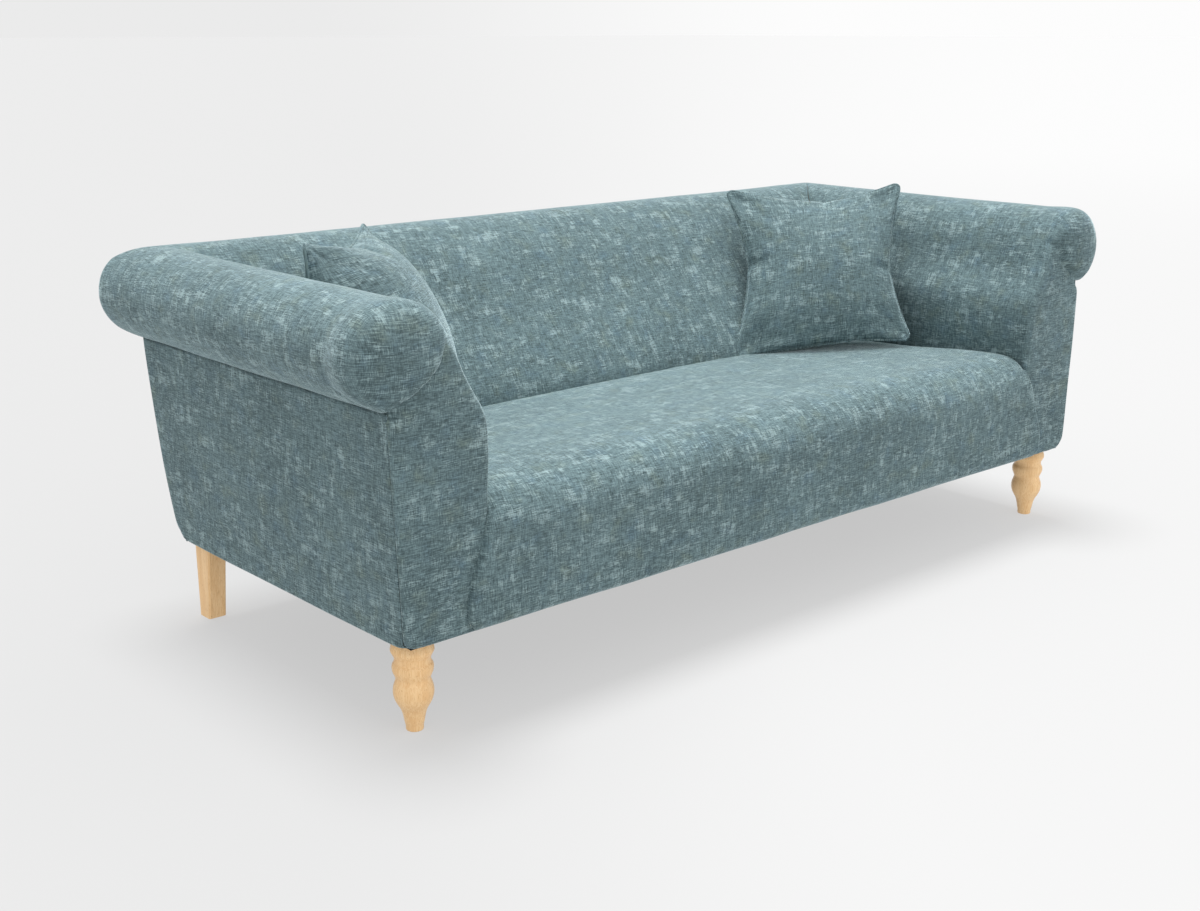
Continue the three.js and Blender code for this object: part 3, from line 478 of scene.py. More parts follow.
def arm_outline():
    """The arm's front outline, clockwise from its inner foot: points (x, z), each point's edge radius, and
    where the cover's rows start and end on it."""
    inner_z = np.arange(leg_height + foot_fillet, tuck_z - outline_step / 2, outline_step)
    inner = [(arm_inner_x, z) for z in inner_z]
    foot = [
        (arm_inner_x + foot_fillet * (1 + cos(t)), leg_height + foot_fillet * (1 + sin(t)))
        for t in np.linspace(radians(260), radians(180), 6)[:-1]
    ]
    head = (arm_u[-1], arm_z[-1])
    drop = head[1] - leg_height - foot_fillet
    outer = [
        (head[0] + (side_panel_foot_x - head[0]) * t, head[1] - drop * t)
        for t in np.linspace(0, 1, int(drop / outline_step))[1:]
    ]
    outer_foot = [
        (side_panel_foot_x - foot_fillet * (1 - cos(t)), leg_height + foot_fillet * (1 + sin(t)))
        for t in np.linspace(0, radians(-90), 7)[1:]
    ]
    width = side_panel_foot_x - arm_inner_x - 2 * foot_fillet
    under = [
        (side_panel_foot_x - foot_fillet - width * t, leg_height)
        for t in np.linspace(0, 1, int(width / outline_step))[1:]
    ]
    swept = list(zip(arm_u, arm_z))
    first = len(foot) + len(inner)
    points = np.array(foot + inner + swept + outer + outer_foot + under)
    count = len(points)
    edge = np.full(count, inner_edge)
    last = first + len(swept) - 1
    rising = smooth_step(roll_start_z - 0.06, roll_start_z + 0.02, arm_z)
    grown = rising * (arm_u < arm_axis_x) + (arm_u >= arm_axis_x)
    edge[first:last + 1] = inner_edge + (roll_edge - inner_edge) * np.clip(grown, 0, 1)
    below = np.arange(1, count - last)
    edge[last + 1:] = outer_edge + (roll_edge - outer_edge) * np.exp(-(below * outline_step / 0.012) ** 2)
    return points, edge, first, last


def outline_normals(points):
    """Unit vectors into a clockwise outline."""
    ahead = np.roll(points, -1, axis=0) - points
    behind = points - np.roll(points, 1, axis=0)
    way = ahead / np.linalg.norm(ahead, axis=1)[:, None] + behind / np.linalg.norm(behind, axis=1)[:, None]
    way /= np.linalg.norm(way, axis=1)[:, None]
    return np.stack([way[:, 1], -way[:, 0]], axis=1)


fill_step = 0.0048


def fill_outline(ring):
    """Triangles inside a closed ring of (x, z) points: the new points, and the faces on both."""
    low, high = ring.min(axis=0), ring.max(axis=0)
    rows = np.arange(low[1], high[1], fill_step * sqrt(3) / 2)
    spots = []
    for k, z in enumerate(rows):
        x = np.arange(low[0] + (k % 2) * fill_step / 2, high[0], fill_step)
        spots.append(np.stack([x, np.full_like(x, z)], axis=1))
    spots = np.concatenate(spots)
    a, b = ring, np.roll(ring, -1, axis=0)
    inside = np.zeros(len(spots), bool)
    nearest = np.full(len(spots), 1e9)
    for p, q in zip(a, b):
        crosses = (p[1] > spots[:, 1]) != (q[1] > spots[:, 1])
        slope = (q[0] - p[0]) / (q[1] - p[1]) if q[1] != p[1] else 0
        inside ^= crosses & (spots[:, 0] < p[0] + slope * (spots[:, 1] - p[1]))
        way = q - p
        t = np.clip((spots - p) @ way / max(way @ way, 1e-12), 0, 1)
        nearest = np.minimum(nearest, np.linalg.norm(spots - p - t[:, None] * way, axis=1))
    spots = spots[inside & (nearest > fill_step * 0.6)]
    count = len(ring)
    flat = [Vector(p) for p in np.concatenate([ring, spots])]
    edges = [(i, (i + 1) % count) for i in range(count)]
    done = delaunay_2d_cdt(flat, edges, [], 1, 1e-6)
    source = [found[0] for found in done[3]]
    return spots, [tuple(source[i] for i in face) for face in done[2]]


fold_radius = 0.101
roll_folds = {
    "left": [
        ((-66, -58, -50, -42, -33), (-0.452, -0.440, -0.420, -0.400, -0.372), 0.0035, 0.007),
        ((-30, -12, 8), (-0.462, -0.452, -0.448), 0.0010, 0.012),
    ],
    "right": [
        ((-66, -56, -44, -30), (-0.450, -0.436, -0.414, -0.396), 0.0030, 0.007),
        ((60, 82, 104, 130), (-0.455, -0.448, -0.440, -0.425), 0.0012, 0.009),
    ],
}


roll_flare = {"left": 0.013, "right": 0.016}


def rolled_edge(outline, edge):
    """The edge rolled from the outline onto the padded front: x, y and z of its rings, and how far in."""
    inward = outline_normals(outline)
    lip = outline + inward * edge[:, None]
    closer = lip - inward * 0.001
    slope = np.clip((arm_front(closer[:, 0], closer[:, 1]) - arm_front(lip[:, 0], lip[:, 1])) / 0.001, 0, 0.6)
    slope = sum(np.roll(slope, k) for k in range(-3, 4)) / 7
    theta = (pi / 2 - np.arctan(slope))[:, None] * np.linspace(1, 0, ring_steps)[None, :]
    bend = (edge / (1 - np.cos(theta[:, 0])))[:, None]
    inset = bend * (1 - np.cos(theta))
    x = outline[:, :1] + inward[:, :1] * inset
    z = outline[:, 1:] + inward[:, 1:] * inset
    front = arm_front(x[:, 0], z[:, 0])
    y = front[:, None] + bend * (np.sin(theta[:, :1]) - np.sin(theta))
    return x, y, z, inset


def arm_cover(side, mirror, seed):
    outline, edge, first, last = arm_outline()
    front_flare = puffed(arm_turn, 0.003, roll_flare[side])
    turn = np.concatenate([np.full(inside_rows, roll_start), arm_turn])
    outline[first:last + 1] += front_flare[:, None] * np.stack([np.cos(turn), np.sin(turn)], axis=1)
    x, y, z, inset = rolled_edge(outline, edge)
    count = len(outline)
    around = np.concatenate([[0], np.cumsum(np.linalg.norm(np.diff(outline, axis=0), axis=1))])
    around = around - around[first]
    points = [np.stack([x, y, z], axis=-1).reshape(-1, 3)]
    run = np.repeat(around[:, None], ring_steps, axis=1)
    cloth = [np.stack([y - inset, run, 0 * y], axis=-1).reshape(-1, 3)]
    facing = [np.tile(smooth_step(0.1, 1, np.linspace(1, 0, ring_steps)), count)]
    sink = [np.zeros(count * ring_steps)]
    rings = np.arange(count * ring_steps).reshape(count, ring_steps)
    faces = [grid_quads(np.concatenate([rings, rings[:1]])[:, ::-1])]

    spots, triangles = fill_outline(np.stack([x[:, 0], z[:, 0]], axis=1))
    start = count * ring_steps
    numbers = np.concatenate([rings[:, 0], start + np.arange(len(spots))])
    depth = arm_front(spots[:, 0], spots[:, 1])
    points.append(np.stack([spots[:, 0], depth, spots[:, 1]], axis=1))
    cloth.append(np.stack([depth, spots[:, 1], 0 * depth], axis=1))
    facing.append(np.ones(len(spots)))
    sink.append(cap_crease(spots[:, 0], spots[:, 1]))
    faces.append(numbers[np.array(triangles)][:, ::-1])
    start += len(spots)

    rows = slice(first, last + 1)
    other, radius = mitre_lines(arm_u, arm_z, arm_axis_x, back_u, back_z, back_axis_y)
    across, along, distance = corner_rows(arm_u, other, radius, y[rows, -1])
    turn = np.concatenate([np.full(inside_rows, roll_start), arm_turn])[:, None]
    swell = puffed(arm_turn, 0.002, corner_puff)[:, None] * np.exp(-(distance / corner_puff_reach) ** 2)
    flare = front_flare[:, None] * smooth_step(front_flare_reach, 0, along - y[rows, -1:])
    across += (swell + flare) * np.cos(turn)
    along += swell * np.cos(turn)
    height = arm_z[:, None] + (swell + flare) * np.sin(turn)
    table = start + np.arange(across[:, :-1].size).reshape(across[:, :-1].shape)
    run = np.repeat(around[rows][:, None], across.shape[1] - 1, axis=1)
    points.append(np.stack([across[:, :-1], along[:, :-1], height[:, :-1]], axis=-1).reshape(-1, 3))
    back_run = y[rows, -1:] + distance[:, -1:] - distance
    cloth.append(np.stack([back_run[:, :-1], run, 0 * run], axis=-1).reshape(-1, 3))
    facing.append(np.zeros(table.size))
    sink.append((mitre_curl * np.exp(-distance[:, :-1] / mitre_curl_reach)).ravel())
    faces.append(grid_quads(np.concatenate([table, rings[rows, -1:]], axis=1)))
    start += table.size

    head = np.concatenate([table[-1], rings[last, -1:]])
    edge_points = np.concatenate(points)[head]
    tucks = [edge_points + (-0.003, 0, -0.0005), edge_points + (-0.005, 0, 0.004)]
    tuck = start + np.arange(2 * len(head)).reshape(2, -1)
    points.append(np.concatenate(tucks))
    cloth.append(np.concatenate([np.concatenate(cloth)[head]] * 2))
    facing.append(np.zeros(2 * len(head)))
    sink.append(np.zeros(2 * len(head)))
    faces.append(grid_quads(np.concatenate([head[None], tuck])))

    points, cloth = np.concatenate(points), np.concatenate(cloth)
    sink = np.concatenate(sink) + unevenness(points, 0.13, 0.0012, seed)
    for turns, ways, deep, wide in roll_folds[side]:
        path = [
            (arm_axis_x + fold_radius * cos(radians(t)), way, roll_axis_z + fold_radius * sin(radians(t)))
            for t, way in zip(turns, ways)
        ]
        sink += crease(points, path, deep, wide)
    points = clip_corners(points)
    points[:, 0] *= mirror
    cloth += (seed * 1.9, seed * 0.7, seed)
    faces = [face for group in faces for face in group]
    middle = (mirror * arm_axis_x, 0, roll_axis_z)
    return mesh_piece(f"{side}_arm_velvet", points, faces, middle, cloth, np.concatenate(facing), sink)


for side, mirror, seed in (("left", -1, 1.0), ("right", 1, 2.0)):
    piece = arm_cover(side, mirror, seed)
    dress(piece, wrapped_velvet, "sofa_cloth", "frame", f"{side}_arm_cover", thickness=cloth_thickness)


# Back cover: one length of velvet up the inside of the back and over the back roll. It is drawn over foam and
# webbing, tucked in at the seat, tacked under the roll, and mitred to the arms' covers.
def back_cover():
    other, radius = mitre_lines(back_u, back_z, back_axis_y, arm_u, arm_z, arm_axis_x)
    across, along, distance = corner_rows(back_u, other, radius, np.zeros(len(back_u)))
    turn = np.concatenate([np.full(inside_rows, roll_start), back_turn])[:, None]
    swell = puffed(back_turn, 0.002, corner_puff)[:, None] * np.exp(-(distance / corner_puff_reach) ** 2)
    across += swell * np.cos(turn)
    along += swell * np.cos(turn)
    height = back_z[:, None] + swell * np.sin(turn)
    along, across, height, distance = (
        np.concatenate([part, way * part[:, -2::-1]], axis=1)
        for way, part in ((-1, along), (1, across), (1, height), (1, distance))
    )
    points = np.stack([along, across, height], axis=-1).reshape(-1, 3)
    run = np.repeat(run_length(back_u, back_z)[:, None], along.shape[1], axis=1)
    cloth = np.stack([along, run, 0 * along], axis=-1).reshape(-1, 3)
    sink = mitre_curl * np.exp(-distance.ravel() / mitre_curl_reach)
    table = np.arange(points.shape[0]).reshape(len(back_u), -1)
    head = points[table[-1]]
    tuck = points.shape[0] + np.arange(2 * len(head)).reshape(2, -1)
    points = np.concatenate([points, head + (0, -0.003, -0.0005), head + (0, -0.005, 0.004)])
    cloth = np.concatenate([cloth, cloth[table[-1]], cloth[table[-1]]])
    sink = np.concatenate([sink, np.zeros(2 * len(head))]) + unevenness(points, 0.16, 0.0014, 3.0)
    faces = grid_quads(np.concatenate([table, tuck]))
    middle = (0, back_axis_y, roll_axis_z)
    return mesh_piece("back_velvet", points, faces, middle, cloth + (3.3, 0.4, 3.0), None, sink)


back = back_cover()
dress(back, velvet, "sofa_cloth", "frame", "inside_back_cover", thickness=cloth_thickness)


# Outside panels: flat lengths of velvet from under the rolls to the underside, one on each arm and one on the
# back. They are stretched over the frame, turned under it and stapled.
rear_shares = [(0, 0), (0.57, 0.41), (0.85, 0.72), (1, 1)]
rear_top_z = roll_axis_z - sqrt(roll_radius ** 2 - (rear_panel_head_y - back_axis_y) ** 2)
side_top_z = arm_z[-1]
rear_rise = rear_top_z - leg_height
rear_sweep = rear_panel_head_y - rear_panel_foot_y
rear_stops = [(leg_height + rear_rise * up, rear_panel_foot_y + rear_sweep * out) for out, up in rear_shares]
rear_line = through(rear_stops, 0.19, 0.03)
panel_fold = 0.006
panel_swell = 0.003
rear_corner_puff = 0.003
panel_seam = 0.0015


def side_line(z):
    share = (z - leg_height) / (side_top_z - leg_height)
    return side_panel_foot_x + (side_panel_head_x - side_panel_foot_x) * share


panel_rows = 60
fold_steps = np.linspace(0, pi / 2, 7)[1:]
hem_steps = np.array([0.006, 0.013, 0.02])


def hemmed(top_z):
    """A panel's rows, from its head down to the fold under the frame and along the hem: each row's height on
    the frame and its own, its reach round the fold, its share of the swell and its run of cloth."""
    straight = np.linspace(top_z - 0.0005, leg_height + panel_fold, panel_rows)
    heights = np.concatenate([straight, np.full(len(fold_steps) + len(hem_steps), leg_height + panel_fold)])
    bend = np.concatenate([np.zeros(panel_rows), fold_steps, np.full(len(hem_steps), pi / 2)])
    hem = np.concatenate([np.zeros(panel_rows + len(fold_steps)), hem_steps])
    radius = panel_fold * np.cos(bend) - hem
    middle = np.sin(pi * np.clip((top_z - heights) / (top_z - leg_height), 0, 1))
    drop = run_length(np.zeros(len(heights)), heights) + panel_fold * bend + hem
    return [row[:, None] for row in (heights, heights - panel_fold * np.sin(bend), radius, middle, drop)]


def side_panel(side, mirror, seed):
    heights, z, radius, middle, drop = hemmed(side_top_z)
    front = arm_front_y + outer_edge - 0.002
    length = rear_line(heights) + rear_corner_puff - panel_fold - front
    share = np.concatenate([[0, 0.002, 0.005, 0.01], np.linspace(0.02, 1, 100), np.ones(len(fold_steps))])
    turn = np.concatenate([np.zeros(len(share) - len(fold_steps)), fold_steps])
    x = side_line(heights) - panel_fold + radius * np.cos(turn) + panel_swell * middle * np.sin(pi * share)
    y = front + length * share + radius * np.sin(turn)
    x, y, z, drop = np.broadcast_arrays(x, y, z, drop)
    points = np.stack([x, y, z], axis=-1).reshape(-1, 3)
    cloth = np.stack([y + panel_fold * turn, drop, 0 * y], axis=-1).reshape(-1, 3)
    table = np.arange(points.shape[0]).reshape(y.shape)
    sink = np.zeros(y.shape)
    sink[:, 0] += 0.0015
    sink[:, 1] += 0.0006
    sink[:, -1] += 0.002
    sink = sink.ravel() + unevenness(points, 0.2, 0.001, seed)
    points = clip_corners(points)
    points[:, 0] *= mirror
    cloth += (seed, seed * 2.1, seed)
    return mesh_piece(f"{side}_outside_velvet", points, grid_quads(table), (0, 0, 0.4), cloth, None, sink)


def stretched_sheet(piece, *rests_on):
    """Reads the piece's cloth coordinates into an array, and does nothing more with them."""
    cloth = np.zeros(3 * len(piece.data.vertices))
    piece.data.attributes["cloth"].data.foreach_get("vector", cloth)


for side, mirror, seed in (("left", -1, 4.0), ("right", 1, 5.0)):
    piece = side_panel(side, mirror, seed)
    dress(piece, velvet, "sofa_cloth", "frame", f"{side}_outside_arm_panel", thickness=cloth_thickness)
    stretched_sheet(piece, f"{side}_side_rail", f"{side}_arm_roll_rail")


def back_panel():
    heights, z, radius, middle, drop = hemmed(rear_top_z)
    share = np.linspace(-1, 1, 220)
    x = (side_line(heights) - panel_fold - panel_seam) * share
    corner = rear_corner_puff * np.abs(share) ** 6
    swell = panel_swell * middle * np.cos(pi * share / 2)
    y = rear_line(heights) + corner - panel_fold + radius + swell
    x, y, z, drop = np.broadcast_arrays(x, y, z, drop)
    points = np.stack([x, y, z], axis=-1).reshape(-1, 3)
    cloth = np.stack([x, drop, 0 * x], axis=-1).reshape(-1, 3)
    sink = np.zeros(x.shape)
    sink[:, [0, -1]] += 0.002
    sink = sink.ravel() + unevenness(points, 0.2, 0.001, 6.0)
    table = np.arange(points.shape[0]).reshape(x.shape)
    points = clip_corners(points)
    cloth += (6.6, 1.2, 6.0)
    return mesh_piece("outside_back_velvet", points, grid_quads(table), (0, 0, 0.4), cloth, None, sink)


rear = back_panel()
dress(rear, velvet, "sofa_cloth", "frame", "outside_back_panel", thickness=cloth_thickness)
stretched_sheet(rear, "back_bottom_rail", "back_roll_rail")


# Seat cover: one cloth over the sprung seat and down the front, where its two sides flare and lap over the
# arm fronts. It is drawn over the foam, tucked in beside the arms and the back and stapled under the front
# rail.
seat_nose = 0.100
seat_turn_under = 0.026
seat_edge_drop = 0.024
seat_edge = 0.010
seat_dive = 0.020
nose_fullness = 2.1
lap_edge = 0.008
lap_stops = [
    (0.180, 0.864), (0.184, 0.873), (0.200, 0.886), (0.225, 0.888), (0.3325, 0.8535), (0.418, 0.8290),
]
across_shares = [(0, 0), (0.35, 0.03), (0.7, 0.14), (0.9, 0.3), (0.965, 0.5), (0.99, 0.75), (1, 1)]
top_shares = [(0, 0), (0.19, 0.08), (0.5, 0.42), (0.81, 0.73), (1, 1)]
lap_half = through(lap_stops, 4, -0.3)
across_drop = through(across_shares, 0, 20)


def seat_path():
    """The seat's section (y, z), from under the front rail over the nose to the back, and its outward way."""
    path = []
    for t in np.linspace(radians(268), radians(180), 14):
        under_y = seat_front_y + seat_turn_under * (1 + cos(t))
        path.append((under_y, leg_height + seat_turn_under * (1 + sin(t)), cos(t), sin(t)))
    nose_foot = seat_crown_z - seat_nose
    for z in np.linspace(leg_height + seat_turn_under, nose_foot, 22)[1:-1]:
        path.append((seat_front_y, z, -1, 0))
    for t in np.linspace(0, pi / 2, 34):
        back, up = abs(cos(t)) ** (2 / nose_fullness), sin(t) ** (2 / nose_fullness)
        out_y, out_z = -back ** (nose_fullness - 1), up ** (nose_fullness - 1)
        length = sqrt(out_y ** 2 + out_z ** 2)
        path.append((
            seat_front_y + seat_nose * (1 - back), nose_foot + seat_nose * up, out_y / length, out_z / length,
        ))
    top_start = seat_front_y + seat_nose
    top_length = seat_rear_y - 0.0005 - top_start
    top_fall = seat_crown_z - seat_rear_z
    top_stops = [(top_start + top_length * a, seat_crown_z - top_fall * d) for a, d in top_shares]
    height = through(top_stops, 0, -0.08)
    rear_edge = seat_rear_y - seat_edge
    for y in np.linspace(top_start, rear_edge, 62)[1:]:
        path.append((y, float(height(y)), 0, 1))
    for t in np.linspace(radians(90), 0, 7)[1:]:
        edge_z = float(height(rear_edge)) - seat_edge * (1 - sin(t))
        path.append((rear_edge + seat_edge * cos(t), edge_z, cos(t), sin(t)))
    path.append((seat_rear_y, float(height(rear_edge)) - seat_edge - seat_dive, 1, 0))
    return np.array(path)


def seat_cover():
    y, z, out_y, out_z = seat_path().T
    room = np.clip(arm_front_y - y, 0, None)
    in_front = (y < arm_front_y + 0.001) & (z < 0.425)
    half = np.where(in_front, lap_half(z), arm_inner_x - 0.0005)
    depth = np.where(in_front, room + 0.0015, seat_dive)
    edge = np.where(in_front, np.minimum(lap_edge, depth / 2), seat_edge)
    flat = np.concatenate([np.linspace(0, 0.9, 80), np.linspace(0.9, 1, 20)[1:]])
    psi = np.linspace(0, pi / 2, 7)[None, 1:]
    columns_x = (half - edge)[:, None] * flat[None, :]
    round_x = (half - edge)[:, None] + edge[:, None] * np.sin(psi)
    round_depth = edge[:, None] * (1 - np.cos(psi))
    foot = np.where(in_front, edge, 0)[:, None]
    foot_x = half[:, None] + foot * (1 - np.cos(psi))
    foot_depth = depth[:, None] - foot * (1 - np.sin(psi))
    x = np.concatenate([columns_x, round_x, foot_x], axis=1)
    sunk = np.concatenate([0 * columns_x, round_depth, foot_depth], axis=1)
    lift = 0.35 * smooth_step(-0.47, -0.40, y) + 0.65 * smooth_step(-0.40, -0.10, y)
    lift = (lift * np.clip((z - tuck_z) / (seat_crown_z - tuck_z), 0, 1))[:, None]
    drop = seat_edge_drop * across_drop(np.clip(x / arm_inner_x, 0, 1)) * lift
    px = x
    py = y[:, None] - out_y[:, None] * sunk
    pz = z[:, None] - out_z[:, None] * sunk - drop
    run = run_length(y, z)
    px, py, pz = (
        np.concatenate([way * part[:, :0:-1], part], axis=1) for way, part in ((-1, px), (1, py), (1, pz))
    )
    sunk = np.concatenate([sunk[:, :0:-1], sunk], axis=1)
    points = np.stack([px, py, pz], axis=-1).reshape(-1, 3)
    spread = px + np.sign(px) * sunk
    cloth = np.stack([spread, np.repeat(run[:, None], px.shape[1], axis=1), 0 * px], axis=-1).reshape(-1, 3)
    table = np.arange(points.shape[0]).reshape(px.shape)
    sink = unevenness(points, 0.15, 0.0016, 7.0)
    cloth += (7.7, 0.9, 7.0)
    return mesh_piece("seat_velvet", points, grid_quads(table), (0, -0.2, 0.3), cloth, None, sink)


seat = seat_cover()
dress(seat, velvet, "sofa_cloth", "frame", "seat_cover", thickness=cloth_thickness)


# Scatter cushions: two squares of the same velvet sewn back to back with a thin piping between them, each
# blown up by a fibre pad until its sides pull in and its corners stand out as ears, and leant into a corner.
cushion_size = 0.436
cushion_bulge = 0.084
cushion_cells = 64
cushion_swell = 0.010
cushion_rim_swell = 0.0015
cushion_ear_round = 0.010
cushion_ear_start = 0.88
cushion_ear_flat = 0.5
cushion_notch = 0.004
cushion_notch_width = 0.05
cushion_side_curve = 1.55
cushion_crown_curve = 0.47
piping_radius = 0.0031
piping_steps = 520
piping_sides = 10
cushion_places = {
    "left": (-1, 0.0777, 0.0125, 0.0100, (42.6, 26.7, 2.4)),
    "right": (1, 0.1361, 0.0037, 0.0167, (-41.2, 27.3, -2.8)),
}
cushion_sides = {
    "left": {"top": (0.05, 0.042), "bottom": (0.0, 0.016), "left": (0.1, 0.018), "right": (-0.1, 0.034)},
    "right": {"top": (0.1, 0.044), "bottom": (0.35, 0.016), "left": (0.06, 0.040), "right": (-0.1, 0.042)},
}
cushion_fronts = {"left": 0.122, "right": 0.084}
cushion_corners = {
    "left": ((-0.004, 0.006), (0.004, 0.007), (-0.002, -0.002), (0.002, -0.002)),
    "right": ((-0.016, 0.010), (0.011, 0.008), (-0.028, -0.014), (-0.001, 0.011)),
}
pinch_width = 0.045
pinch_reach = 0.22
pinch_depth = 0.30
cushion_curl = {"left": 0.032, "right": 0.0}


def cushion_frame(side):
    way, from_arm, from_back, sunk, turns = cushion_places[side]
    turn, lean, roll = (radians(a) for a in turns)
    tilt = Matrix.Rotation(turn, 4, "Z") @ Matrix.Rotation(-lean, 4, "X") @ Matrix.Rotation(roll, 4, "Y")
    rear = tilt @ Vector((0, cushion_bulge, cushion_size / 2))
    foot_x = way * (arm_inner_x - from_arm) - rear.x
    foot_y = seat_rear_y - from_back - rear.y
    return Matrix.Translation((foot_x, foot_y, seat_crown_z - sunk)) @ tilt


def sewn_squares(side):
    """Two squares sewn round their rim, with drawn-in sides and eased corners: points, faces, rim, places."""
    spots = np.sin(np.linspace(-1, 1, cushion_cells + 1) * pi / 2 * 0.9) / sin(pi / 2 * 0.9)
    a, b = np.meshgrid(spots, spots)
    half = cushion_size / 2
    draws = cushion_sides[side]

    def drawn(edge, along, across):
        middle, deep = draws[edge]
        reach = np.where(along < middle, 1 + middle, 1 - middle)
        share = 1 - np.abs((along - middle) / reach) ** cushion_side_curve
        notch = cushion_notch * np.exp(-((along - middle) / cushion_notch_width) ** 2)
        return deep * share * np.clip(across, 0, 1) ** 1.5 + notch * np.clip(across, 0, 1) ** 6

    x = a * half - drawn("right", b, a) + drawn("left", b, -a)
    z = b * half - drawn("top", a, b) + drawn("bottom", a, -b)
    for (shift_x, shift_z), way_a, way_b in zip(cushion_corners[side], (-1, 1, -1, 1), (1, 1, -1, -1)):
        near = (1 + way_a * a) * (1 + way_b * b) / 4
        x += shift_x * near ** 2
        z += shift_z * near ** 2
    nearer = np.minimum(np.abs(a), np.abs(b))
    corner = np.clip(nearer - cushion_ear_start, 0, None) / (1 - cushion_ear_start)
    x -= np.sign(a) * cushion_ear_round * corner ** 2
    z -= np.sign(b) * cushion_ear_round * corner ** 2
    curl = cushion_curl[side] * smooth_step(0, 0.45, 1 - b) * np.clip(-a, 0, 1) ** 3
    crown = ((1 - a * a) * (1 - b * b)) ** cushion_crown_curve
    crown *= 1 - cushion_ear_flat * smooth_step(0.5, 1, nearer)
    count = a.size
    table = np.arange(count).reshape(a.shape)
    rim = np.concatenate([table[0, :-1], table[:-1, -1], table[-1, :0:-1], table[:0:-1, 0]])
    rear = np.full(count, -1)
    rear[rim] = rim
    free = rear < 0
    rear[free] = count + np.arange(free.sum())
    faces = np.concatenate([grid_quads(table), grid_quads(rear[table][:, ::-1])])
    front_face = np.stack([x, curl - cushion_fronts[side] * crown, z], axis=-1).reshape(-1, 3)
    rear_face = np.stack([x, curl + cushion_bulge * crown, z], axis=-1).reshape(-1, 3)[free]
    square = np.stack([a.ravel(), b.ravel()], axis=1)
    return np.concatenate([front_face, rear_face]), faces, rim, np.concatenate([square, square[free]])


def blown_up(name, points, faces, most):
    """Cloth simulation: the sewn squares filled from inside, with no point moved further than it may."""
    mesh = bpy.data.meshes.new(name)
    mesh.from_pydata([tuple(p) for p in points], [], [tuple(int(i) for i in f) for f in faces])
    trial = bpy.data.objects.new(name, mesh)
    bpy.context.scene.collection.objects.link(trial)
    cloth = trial.modifiers.new("cloth", "CLOTH")
    settings = cloth.settings
    settings.quality = 6
    settings.mass = 0.2
    settings.tension_stiffness = 25
    settings.compression_stiffness = 8
    settings.shear_stiffness = 8
    settings.bending_stiffness = 0.3
    settings.shrink_min = -0.02
    settings.use_pressure = True
    settings.uniform_pressure_force = 4
    settings.effector_weights.gravity = 0
    cloth.collision_settings.use_collision = False
    scene = bpy.context.scene
    for step in range(1, 21):
        scene.frame_set(step)
    solved = trial.evaluated_get(bpy.context.evaluated_depsgraph_get()).to_mesh()
    found = np.array([v.co for v in solved.vertices])
    bpy.data.objects.remove(trial)
    bpy.data.meshes.remove(mesh)
    scene.frame_set(1)
    move = found - points
    length = np.linalg.norm(move, axis=1, keepdims=True)
    most = most[:, None]
    return points + move * (most * np.tanh(length / most)) / np.maximum(length, 1e-9)


def cushion_shape(side):
    points, faces, rim, square = sewn_squares(side)
    near_rim = np.clip(8 * (1 - np.abs(square).max(axis=1)), 0, 1)
    most = cushion_rim_swell + (cushion_swell - cushion_rim_swell) * near_rim
    points = blown_up(f"{side}_cushion_trial", points, faces, most)
    for edge, (middle, _) in cushion_sides[side].items():
        across = square[:, 1 if edge in ("top", "bottom") else 0]
        along = square[:, 0 if edge in ("top", "bottom") else 1]
        outward = across if edge in ("top", "right") else -across
        pinch = np.exp(-((along - middle) / pinch_width) ** 2 - ((1 - outward) / pinch_reach) ** 2)
        points[:, 1] *= 1 - pinch_depth * pinch
    points[:, 2] += cushion_size / 2
    return points, faces, rim, square


def new_tree(name, **kinds):
    """A Geometry Nodes tree with inputs of its own: its nodes, the geometry it is given and each input."""
    tree = bpy.data.node_groups.new(name, "GeometryNodeTree")
    tree.interface.new_socket("Geometry", in_out="INPUT", socket_type="NodeSocketGeometry")
    for size, kind in kinds.items():
        tree.interface.new_socket(size, in_out="INPUT", socket_type=f"NodeSocket{kind}")
    tree.interface.new_socket("Geometry", in_out="OUTPUT", socket_type="NodeSocketGeometry")
    shade = Shade(tree)
    given = shade.add("NodeGroupInput")
    return shade, given, *(Shade(tree, given.socket.node.outputs[size]) for size in kinds)


def run_along(name, loop, tree, **values):
    """A tree's result round a closed loop of points, as a plain mesh."""
    mesh = bpy.data.meshes.new(name)
    mesh.from_pydata([tuple(p) for p in loop], [(i, (i + 1) % len(loop)) for i in range(len(loop))], [])
    line = bpy.data.objects.new(f"{name}_line", mesh)
    bpy.context.scene.collection.objects.link(line)
    made = line.modifiers.new(name, "NODES")
    made.node_group = tree
    sockets = {item.name: item.identifier for item in tree.interface.items_tree if item.in_out == "INPUT"}
    for size, value in values.items():
        made[sockets[size]] = value
    solid = bpy.data.meshes.new_from_object(line.evaluated_get(bpy.context.evaluated_depsgraph_get()))
    bpy.data.objects.remove(line)
    piece = bpy.data.objects.new(name, solid)
    bpy.context.scene.collection.objects.link(piece)
    return piece


